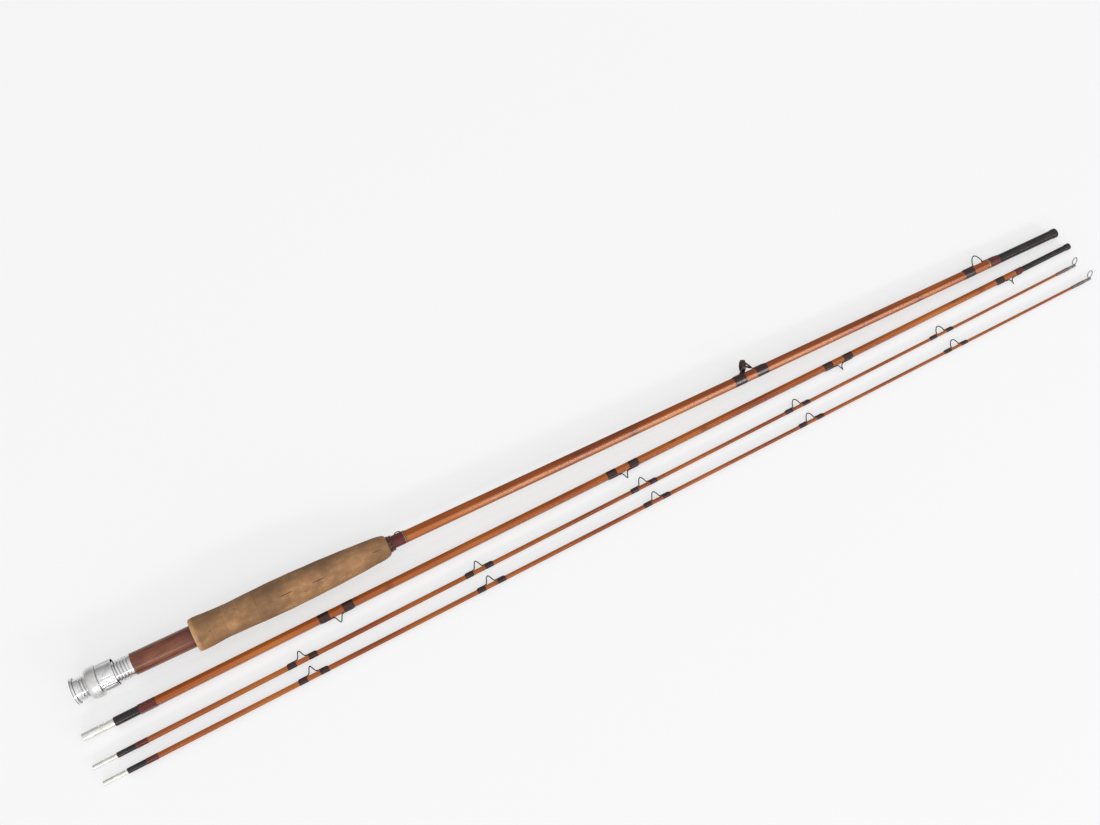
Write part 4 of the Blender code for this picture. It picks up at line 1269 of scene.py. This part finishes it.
    def spacer(self) -> Shape:
        """The spacer that the reel's foot lies on, turned with a small round at the barrel.

        Returns:
            The spacer.
        """
        rear, tenon = self.plug_front + END_GAP, self.bore - GLUE_FIT
        outline = fillet([
            (rear, self.spacer_bore), (rear, tenon), (self.barrel_front, tenon),
            (self.barrel_front, self.spacer_radius), (self.spacer_front, self.spacer_radius),
            (self.spacer_front, self.spacer_bore),
        ], 0.0003, closed=True)
        return turned(outline, True, SEAT_SIDES)

    def build(self, maker: Maker) -> None:
        """Makes the seat's pieces.

        Args:
            maker: the butt section's maker.
        """
        maker.stand_in("butt_cap", self.cap(), POLISHED)
        maker.stand_in("seat_barrel", self.barrel(), POLISHED)
        maker.stand_in("seat_spacer", self.spacer(), SPACER)
        maker.stand_in("lock_nut", self.nut(), SATIN, body=Body.NUT)
        # The hood's inside is painted shade in a darker metal.
        maker.stand_in("sliding_hood", self.hood(), POLISHED, INSIDE_SHADE, body=Body.HOOD)


@dataclass(frozen=True)
class Grip:
    """The shaped cork with the fixed hood in its rear, and the winding check in front of it.

    The marks are places from the cork's rear and its radius there: rear, lip, waist, swell, nose, front.
    """

    length: float = 0.1603
    marks: tuple[tuple[float, float], ...] = (
        (0.0, 0.01278), (0.0040, 0.01328), (0.0240, 0.01243),
        (0.0680, 0.01328), (0.1471, 0.01028), (0.1603, 0.00718),
    )
    run_steps: int = 48
    joint_depth: float = 0.00003
    joint_width: float = 0.00035
    hollow: float = 0.00006
    rear_hold: float = 0.004
    front_hold: float = 0.006
    bore_fit: float = 0.97
    hood_front: float = 0.1070
    hood_bore: float = 0.0090
    hood_room: float = 0.0023
    hood_wall: float = 0.0007
    pocket_end: float = math.radians(34)
    pocket_blend: float = math.radians(14)
    check_length: float = 0.0045
    check_radius: float = 0.00678
    check_bore: float = 0.0052
    sides: int = 120

    def pocket(self, grow: float) -> Array:
        """Reaches round the spacer that swell on the guide side for the reel's foot."""
        swell = smooth((self.pocket_end - off_zero(around(self.sides))) / self.pocket_blend)
        return self.hood_bore + self.hood_room * swell + grow

    def outline(self) -> Array:
        """The cork's side view, eased between its marks.

        It rounds up to the rear lip like a quarter circle, eases to the waist and to the swell, droops
        as a square to the nose, and falls like a quarter circle to the front.

        Returns:
            The (x, radius) points from its rear.
        """
        share = np.linspace(0, 1, self.run_steps + 1)[1:]
        fall = 1 - np.sqrt(1 - share**2)
        eases = (quarter_round(share), smooth(share), smooth(share), share**2, fall)
        runs = [np.array(self.marks[:1])]
        for (x, r), (next_x, next_r), ease in zip(self.marks[:-1], self.marks[1:], eases):
            runs.append(np.stack([x + (next_x - x) * share, r + (next_r - r) * ease], -1))
        return np.vstack(runs)

    def cork(self) -> Shape:
        """The cork, with a fine groove at each joint of its rings and the hollows of long use.

        The groove is a bell curve round each joint. The hollows are a few slow waves along and round it.

        Returns:
            The cork.
        """
        side = self.outline()
        x, angle = side[:, :1], around(self.sides)
        joint = np.abs((x / CORK_RING + 0.5) % 1 - 0.5) * CORK_RING
        groove = self.joint_depth * bell(joint, self.joint_width)
        waves = np.sin(150 * x + 1.3 * np.sin(angle)) * np.cos(2 * angle + 40 * x)
        waves = waves + np.sin(310 * x + 3 * angle + 1)
        hold = smooth(x / self.rear_hold) * smooth((self.length - x) / self.front_hold)
        reach = side[:, 1:] - groove * hold + self.hollow * waves * hold
        bore = np.full(self.sides, BUTT_CANE.corner(GRIP_REAR + self.length) * self.bore_fit)
        pocket = self.pocket(self.hood_wall)
        floor = self.hood_front - GRIP_REAR
        place = np.concatenate([x.ravel(), [self.length, floor, floor, 0.0]]) + GRIP_REAR
        return skin(rings_at(place, np.vstack([reach, bore, bore, pocket, pocket]), self.sides), True)

    def fixed_hood(self) -> Shape:
        """The cup in the grip's rear face that holds the front of the reel's foot.

        Returns:
            The cup.
        """
        start, web = GRIP_REAR + END_GAP, self.hood_front - self.hood_wall
        bore = np.full(self.sides, self.hood_bore)
        inner, outer = self.pocket(0), self.pocket(self.hood_wall)
        reach = np.stack([inner, inner, bore, bore, outer, outer])
        x = np.array([start, web, web, self.hood_front, self.hood_front, start])
        return skin(rings_at(x, reach, self.sides), True)

    def check(self) -> Shape:
        """The winding check: a tapered ring with a shallow groove behind its front edge.

        Returns:
            The ring.
        """
        start = GRIP_REAR + self.length + GLUE_FIT
        end = start + self.check_length
        slim = self.check_radius - 0.0005
        outline = fillet([
            (start, self.check_bore), (start, self.check_radius),
            (start + 0.0021, self.check_radius - 0.0002), (start + 0.0024, slim - 0.0001),
            (start + 0.0028, slim - 0.0001), (start + 0.0031, slim + 0.0001),
            (end, slim), (end, self.check_bore),
        ], 0.0003, closed=True)
        return turned(outline, True)

    def build(self, maker: Maker) -> None:
        """Makes the grip's pieces.

        Args:
            maker: the butt section's maker.
        """
        maker.stand_in("cork_grip", self.cork(), CORK)
        maker.stand_in("fixed_hood", self.fixed_hood(), SATIN)
        maker.stand_in("winding_check", self.check(), HORN)


@dataclass(frozen=True)
class HookKeeper:
    """A small wire loop under a wrap in front of the grip, where the hook is hung.

    The trims are places back from the wrap's front end.
    """

    start: float = 0.2584
    length: float = 0.0115
    back: float = 0.0034
    span: float = 0.0050
    height: float = 0.0020
    foot: float = 0.0022
    wire: float = 0.0004
    trims: tuple[tuple[float, float], ...] = ((0.0023, 0.0016), (0.0010, 0.0004))
    wrap_rings: int = 90
    loop_steps: int = 41
    foot_steps: int = 8

    def loop(self) -> Shape:
        """Two feet on the cane and half an oval between them: x by the cosine, the height by the sine.

        Returns:
            The loop.
        """
        half = self.span / 2
        middle = self.start + self.back + half
        a = np.linspace(0, math.pi, self.loop_steps)
        reach = np.linspace(half + self.foot, half, self.foot_steps)[:-1]
        x = np.concatenate([middle - reach, middle - half * np.cos(a), middle + reach[::-1]])
        rise = np.concatenate([0 * reach, (self.height - 2 * self.wire) * np.sin(a), 0 * reach])
        up = BUTT_CANE.half_flat(x) + GLUE_FIT + self.wire + rise
        aside = np.broadcast_to([0.0, 1.0, 0.0], (len(x), 3))
        return swept(np.stack([x, 0 * x, up], -1), np.full_like(x, self.wire), aside)

    def build(self, maker: Maker) -> None:
        """Makes the loop and its wrap, which ends in two pale trims.

        Args:
            maker: the butt section's maker.
        """
        end = self.start + self.length
        trims = tuple((end - low, end - high) for low, high in self.trims)
        near = self.start + self.back - self.foot
        foot = (near, near + self.span + 2 * self.foot)
        wrap = Wrap(BUTT_CANE, self.start, end, foot, trims, rings=self.wrap_rings)
        maker.stand_in("hook_keeper", self.loop(), FRAME)
        maker.stand_in("keeper_wrap", wrap.shape(), MAROON)


@dataclass(frozen=True)
class StrippingGuide(GuideFeet):
    """The first guide: a leaning bezel with a hard ring, on a back leg and two braces."""

    gap: float = 0.0106
    wrap: float = 0.0112
    foot: float = 0.0085
    place: float = 0.5906
    bezel_radius: float = 0.0054
    bezel_wall: float = 0.0010
    bezel_depth: float = 0.0032
    stand: float = 0.0004
    lean: float = math.radians(24)
    setback: float = 0.0021
    ring_wall: float = 0.0009
    ring_depth: float = 0.0027
    leg: float = 0.00078
    back_leg: float = 0.0015
    back_rise: float = 0.0006
    spread: float = math.radians(70)
    toe: float = 0.00024
    leg_steps: int = 48
    leg_passes: int = 6

    def centre(self) -> tuple[float, float, float]:
        """The middle of the ring."""
        up = float(BUTT_CANE.half_flat(self.place)) + GLUE_FIT + self.stand + self.bezel_radius
        return (self.place - self.setback, 0.0, up)

    def band(self, depth: float, inner: float, outer: float, rounding: float, steps: int) -> Shape:
        """A leaning ring turned from a rounded band.

        Args:
            depth: its depth along its axis.
            inner: its inner radius.
            outer: its outer radius.
            rounding: how far its corners are rounded.
            steps: points on each corner.

        Returns:
            The ring in its place.
        """
        half = depth / 2
        corners = [(-half, inner), (-half, outer), (half, outer), (half, inner)]
        outline = fillet(corners, rounding, closed=True, steps=steps)
        return turned(outline, True).moved(leaned(self.lean), self.centre())

    def leg_from(self, foot: float, edge: float, knee: Sequence[float], end: Sequence[float],
                 thick: float) -> Shape:
        """A leg from its toe along the cane, over a knee, to the bezel.

        Args:
            foot: the place of the toe.
            edge: the place where the leg leaves its wrap.
            knee: the point that it bends over.
            end: the point in the bezel.
            thick: its radius between the knee and the bezel.

        Returns:
            The leg, thin in its foot and eased along its path.
        """
        ends = [(x, 0, float(BUTT_CANE.foot_height(x))) for x in (foot, edge)]
        path = eased_path([*ends, knee, end], self.leg_steps, self.leg_passes)
        share = np.linspace(0, 1, self.leg_steps)
        radii = np.interp(share, [0, 0.5, 0.62, 0.85, 1], [self.toe, FOOT_RADIUS, thick, thick, thick * 0.8])
        return swept(path, radii, np.broadcast_to([0.1, 1.0, 0.2], path.shape))

    def frame(self) -> Shape:
        """The bezel, the leg behind it, and the braces that come to its two sides.

        Returns:
            The frame.
        """
        seat = self.bezel_radius - self.bezel_wall
        parts = [self.band(self.bezel_depth, seat, self.bezel_radius, 0.0004, 5)]
        half, reach = self.bezel_depth / 4, self.bezel_radius - self.bezel_wall / 2
        turn, centre = leaned(self.lean), np.array(self.centre())
        heel, toe = self.place - self.gap / 2, self.place + self.gap / 2
        base = turn @ np.array([half, 0, -reach]) + centre
        low = float(BUTT_CANE.foot_height(heel))
        knee = (heel + self.back_leg + 2 * END_GAP, 0, low + self.back_rise)
        parts.append(self.leg_from(heel - self.foot, heel, knee, base, self.back_leg))
        start = np.array([toe, 0, float(BUTT_CANE.foot_height(toe))])
        for side in (1, -1):
            end = np.array([half, reach * math.sin(side * self.spread), reach * math.cos(self.spread)])
            end = turn @ end + centre
            parts.append(self.leg_from(toe + self.foot, toe, (start + end) / 2, end, self.leg))
        return joined(parts)

    def build(self, maker: Maker) -> None:
        """Makes the frame, the hard ring in it and the two wraps.

        Args:
            maker: the butt section's maker.
        """
        seat = self.bezel_radius - self.bezel_wall
        ring = self.band(self.ring_depth, seat - self.ring_wall, seat, 0.0006, 8)
        maker.stand_in("stripping_guide_frame", self.frame(), FRAME)
        maker.stand_in("stripping_guide_ring", ring, RING)
        for end, wrap in zip(("rear", "front"), self.wraps(BUTT_CANE, self.place)):
            maker.stand_in(f"stripping_guide_{end}_wrap", wrap.shape(), DARK)


@dataclass(frozen=True)
class TipTop:
    """The tip-top: a tube on the cane's end with a leaning wire ring at its mouth."""

    end: float = 0.9220
    tube: float = 0.0145
    radius: float = 0.001310
    bore: float = 0.001030
    ring_radius: float = 0.0032
    wire: float = 0.0004
    lean: float = math.radians(50)
    wrap: float = 0.0133
    thick: float = 0.00024
    edge: float = 0.0004
    climb: float = 0.0012
    sunk: float = 0.0002
    round_cane: float = 1.06
    tube_sides: int = 32
    wire_sides: int = 24
    ring_sides: int = 72
    wrap_rings: int = 60
    wrap_sides: int = 48

    def shape(self) -> Shape:
        """The tube and the ring: a wire carried round a circle that leans back from the rod's line.

        Returns:
            The tip-top.
        """
        rear, end = self.end - self.tube, self.end
        tube = fillet([(rear, self.bore), (rear, self.radius), (end, self.radius), (end, self.radius * 0.4)],
                      0.0003, closed=False)
        turn = around(self.wire_sides)
        circle = np.stack([self.wire * np.sin(turn), self.ring_radius + self.wire * np.cos(turn)], -1)
        lean = leaned(math.pi / 2 - self.lean)
        foot = np.array([end - self.wire, 0, self.radius - self.wire])
        middle = foot + lean @ np.array([0, 0, self.ring_radius])
        ring = turned(circle, True, self.ring_sides).moved(lean, middle)
        return joined([turned(tube, False, self.tube_sides), ring])

    def binding(self) -> Shape:
        """The wrap that runs from the cane up over the tube's rear, as a turned sleeve.

        Returns:
            The wrap, with no trim.
        """
        rear = self.end - self.tube
        x = np.linspace(rear - self.wrap / 2, rear + self.wrap / 2, self.wrap_rings)
        near = np.clip(np.minimum(x - x[0], x[-1] - x) / self.edge, 0, 1)
        rise = smooth((x - rear + self.climb) / self.climb)
        under = TIP_CANE.half_flat(x) * self.round_cane * (1 - rise) + self.radius * rise
        outer = under + self.thick * quarter_round(near)
        reach = np.concatenate([outer, under[::-1] - self.sunk])
        outline = np.stack([np.concatenate([x, x[::-1]]), reach], -1)
        return turned(outline, True, self.wrap_sides).tagged("trim", np.zeros(1))


@dataclass(frozen=True)
class Section:
    """What the sections share: a blank between two places, one size of snake guide, and ferrules."""

    name: str
    cane: Cane
    rear: float
    front: float
    snake: SnakeGuide
    wrap_rings: int = 80

    def blank(self, maker: Maker) -> None:
        """Makes the blank."""
        maker.stand_in(f"{self.name}_blank", Blank(self.cane, self.rear, self.front).shape(), CANE)

    def guide(self, maker: Maker, name: str, crest: float, ends: Sequence[str] = ("rear", "front"),
              packed: bool = True) -> None:
        """Makes a snake guide and the thread on its feet.

        Args:
            maker: the section's maker.
            name: what the guide's names start with.
            crest: the place of its highest point.
            ends: the feet that have a wrap of their own, from the rear.
            packed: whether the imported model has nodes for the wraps.
        """
        maker.stand_in(f"{name}_snake_guide", self.snake.shape(self.cane, crest), WIRE)
        for end, wrap in zip(ends, self.snake.wraps(self.cane, crest)):
            node = f"{name}_{end}_wrap"
            maker.piece(f"{node}_finished", wrap.shape(), DARK, node=node if packed else None)

    def male_end(self, maker: Maker, ferrule: MaleFerrule, wrap: float) -> None:
        """Makes the ferrule at the rear and the wrap in front of it.

        Args:
            maker: the section's maker.
            ferrule: the ferrule.
            wrap: the wrap's length past the ferrule.
        """
        maker.stand_in(f"{self.name}_male_ferrule", ferrule.shape(), NICKEL, BLACKENED)
        thread = Wrap(self.cane, self.rear, self.rear + END_GAP + wrap)
        maker.stand_in(f"{self.name}_male_wrap", thread.shape(), MAROON)

    def female_end(self, maker: Maker, guide: str, ferrule: FemaleFerrule, wrap: float, trim: float) -> None:
        """Makes the last guide, the wrap over its front foot, which starts with a trim, and the ferrule.

        Args:
            maker: the section's maker.
            guide: what the guide's names start with.
            ferrule: the ferrule.
            wrap: the wrap's length up to the ferrule.
            trim: the trim's length.
        """
        start = self.front - END_GAP - wrap
        self.guide(maker, guide, start - self.snake.gap / 2, ("rear",))
        foot = (start - self.snake.gap, start + self.snake.foot)
        thread = Wrap(self.cane, start, self.front, foot, ((start, start + trim),), rings=self.wrap_rings)
        maker.stand_in(f"{self.name}_ferrule_wrap", thread.shape(), MAROON)
        maker.stand_in(f"{self.name}_female_ferrule", ferrule.shape(), BLACKENED)


@dataclass(frozen=True)
class ButtSection(Section):
    """The handle section."""

    name: str = "butt"
    cane: Cane = BUTT_CANE
    rear: float = 0.0113
    front: float = 0.8538
    snake: SnakeGuide = SnakeGuide(
        gap=0.0158, wrap=0.0111, foot=0.0085, height=0.0085, half_width=0.0025, span=0.0106, wire=0.0005)
    female: FemaleFerrule = FemaleFerrule(
        front=0.9191, length=0.0653, radius=0.0040, bore=0.00335, depth=0.0249)
    female_wrap: float = 0.0116
    trim: float = 0.0011

    def build(self, maker: Maker) -> None:
        """Makes the section's pieces, from the seat to the ferrule.

        Args:
            maker: the section's maker.
        """
        self.blank(maker)
        for part in (ReelSeat(), Grip(), HookKeeper(), StrippingGuide()):
            part.build(maker)
        self.female_end(maker, self.name, self.female, self.female_wrap, self.trim)


@dataclass(frozen=True)
class MidSection(Section):
    """The middle section: a ferrule at each end and four snake guides."""

    name: str = "mid"
    cane: Cane = MID_CANE
    rear: float = 0.0437
    front: float = 0.8747
    snake: SnakeGuide = SnakeGuide(
        gap=0.0115, wrap=0.0090, foot=0.0068, height=0.0063, half_width=0.0021, span=0.0078, wire=0.00045)
    guides: tuple[float, ...] = (0.2034, 0.4597, 0.6740)
    male: MaleFerrule = MaleFerrule(slide_radius=0.0033, slide_length=0.0246, body_length=0.0191)
    male_wrap: float = 0.0131
    female: FemaleFerrule = FemaleFerrule(
        front=0.9290, length=0.0543, radius=0.002575, bore=0.001925, depth=0.0189)
    female_wrap: float = 0.0091
    trim: float = 0.0010

    def build(self, maker: Maker) -> None:
        """Makes the section's pieces, from the male ferrule to the female one.

        Args:
            maker: the section's maker.
        """
        self.blank(maker)
        self.male_end(maker, self.male, self.male_wrap)
        for number, crest in enumerate(self.guides, 1):
            self.guide(maker, f"{self.name}_{number}", crest)
        last = f"{self.name}_{len(self.guides) + 1}"
        self.female_end(maker, last, self.female, self.female_wrap, self.trim)


@dataclass(frozen=True)
class TipSection(Section):
    """One of the two like tips: a male ferrule, five snake guides and a tip-top."""

    cane: Cane = TIP_CANE
    rear: float = 0.0328
    front: float = 0.9072
    snake: SnakeGuide = SnakeGuide(
        gap=0.0104, wrap=0.0072, foot=0.0055, height=0.0063, half_width=0.0022, span=0.0080, wire=0.00045)
    first_guide: float = 0.1660
    guide_spacing: float = 0.1514
    guide_count: int = 5
    male: MaleFerrule = MaleFerrule(slide_radius=0.001875, slide_length=0.0186, body_length=0.0142)
    male_wrap: float = 0.0090
    top: TipTop = TipTop()

    def build(self, maker: Maker) -> None:
        """Makes the tip's pieces, with the thread that binds each guide.

        Args:
            maker: the section's maker.
        """
        self.blank(maker)
        self.male_end(maker, self.male, self.male_wrap)
        for number in range(self.guide_count):
            crest = self.first_guide + number * self.guide_spacing
            self.guide(maker, f"{self.name}_{number + 1}", crest, packed=False)
        maker.stand_in(f"{self.name}_top", self.top.shape(), GREY_STEEL)
        maker.stand_in(f"{self.name}_top_wrap", self.top.binding(), GREY)


# Studio


@dataclass(frozen=True)
class Studio:
    """A pale floor, soft light and the camera."""

    floor_size: float = 8.0
    floor_colour: Colour = (0.42, 0.42, 0.425)
    floor_mottle: float = 0.985
    floor_glow: float = 0.54
    far_edge: float = -0.9
    far_light: float = 0.36
    near_light: float = 1.05
    near_side: tuple[float, float, float] = (0.10, -0.85, 0.52)
    key_depth: float = -2.95
    key_rise: float = 1.25
    key_height: float = 0.26
    key_glare: float = 12.5
    key_spans: tuple[tuple[float, float], ...] = ((-1.65, -0.60), (0.35, 2.45))
    camera_place: tuple[float, float, float] = (-0.250452, -0.322282, 0.906421)
    view_heading: float = 61.4898
    view_down: float = 63.2662
    view_roll: float = -1.07986
    focal_pixels: float = 1200.0
    image_width: float = 1100.0
    sensor: float = 36.0

    def floor(self) -> None:
        """A square under the rod, a little mottled like paper, that shows paler than it lights."""
        material = bpy.data.materials.new("pale_floor")
        graph = Graph(material)
        half = self.floor_size / 2
        corners = [(-half, -half, 0), (half, -half, 0), (half, half, 0), (-half, half, 0)]
        mesh = bpy.data.meshes.new("floor")
        mesh.from_pydata(corners, [], [(0, 1, 2, 3)])
        mesh.materials.append(material)
        place = graph.node("TexCoord").outputs["Object"]
        mottle = graph.node("TexNoise", {"Vector": place, "Scale": 3.0, "Detail": 2.0}).outputs[0]
        dimmer = tuple(part * self.floor_mottle for part in self.floor_colour)
        graph.dress(Base_Color=graph.blend(mottle, self.floor_colour, dimmer))
        graph.dress(Roughness=0.7, Specular_IOR_Level=0.1)
        ray = graph.node("LightPath").outputs
        seen = graph.math("MAXIMUM", ray["Is Camera Ray"], ray["Is Glossy Ray"])
        seen = graph.math("MAXIMUM", seen, ray["Is Transmission Ray"])
        glow = graph.math("MULTIPLY", seen, self.floor_glow)
        graph.dress(Emission_Color=(1.0, 1.0, 1.0), Emission_Strength=glow)
        made = bpy.data.objects.new("floor", mesh)
        bpy.context.scene.collection.objects.link(made)

    def world(self) -> None:
        """Soft light all round that grows towards the near side."""
        world = bpy.data.worlds.new("studio")
        graph = Graph(world)
        bpy.context.scene.world = world
        aim = graph.node("TexCoord").outputs["Generated"]
        dot = graph.node("VectorMath", {0: aim, 1: self.near_side}, operation="DOT_PRODUCT")
        level = graph.span(dot.outputs["Value"], self.far_edge, 1.0, self.far_light, self.near_light)
        graph.dress(Color=(1.0, 1.0, 1.0), Strength=level)

    def keys(self) -> None:
        """Long lights like low windows on the near side, all as bright for their length."""
        for number, (low, high) in enumerate(self.key_spans, 1):
            light = bpy.data.lights.new(f"key_{number}", "AREA")
            light.shape = "RECTANGLE"
            light.size = high - low
            light.size_y = self.key_height
            light.energy = self.key_glare * (high - low)
            made = bpy.data.objects.new(f"key_{number}", light)
            made.location = ((low + high) / 2, self.key_depth, self.key_rise)
            made.rotation_euler = (math.atan2(-self.key_depth, self.key_rise), 0.0, 0.0)
            bpy.context.scene.collection.objects.link(made)

    def camera(self) -> None:
        """A camera at the photograph's angle.

        Its view heads level from +X, dips by the given angle, and rolls about its own line.
        """
        heading, down, roll = np.radians([self.view_heading, self.view_down, self.view_roll])
        ahead = np.array([math.cos(heading), math.sin(heading), 0.0])
        level = np.array([math.sin(heading), -math.cos(heading), 0.0])
        forward = ahead * math.cos(down) - np.array([0.0, 0.0, math.sin(down)])
        below = np.cross(forward, level)
        right = math.cos(roll) * level + math.sin(roll) * below
        under = -math.sin(roll) * level + math.cos(roll) * below
        lens = bpy.data.cameras.new("camera")
        lens.sensor_fit = "HORIZONTAL"
        lens.sensor_width = self.sensor
        lens.lens = self.sensor * self.focal_pixels / self.image_width
        made = bpy.data.objects.new("camera", lens)
        columns = np.eye(4)
        columns[:3] = np.stack([right, -under, -forward, self.camera_place], -1)
        made.matrix_world = Matrix(columns.tolist())
        bpy.context.scene.collection.objects.link(made)
        bpy.context.scene.camera = made

    def build(self) -> None:
        """Sets up the floor, the light and the camera."""
        bpy.context.scene.view_settings.view_transform = "Standard"
        self.floor()
        self.world()
        self.keys()
        self.camera()


def main() -> None:
    """Builds the four sections and the studio, and reports each piece."""
    logging.basicConfig(level=logging.INFO, format="%(message)s")
    ButtSection().build(Maker(BUTT_FRAME, Body.BUTT))
    MidSection().build(Maker(MID_FRAME, Body.MID))
    TipSection("tip_a").build(Maker(TIP_A_FRAME, Body.TIP_A))
    TipSection("tip_b").build(Maker(TIP_B_FRAME, Body.TIP_B))
    Studio().build()


if __name__ == "__main__":
    main()
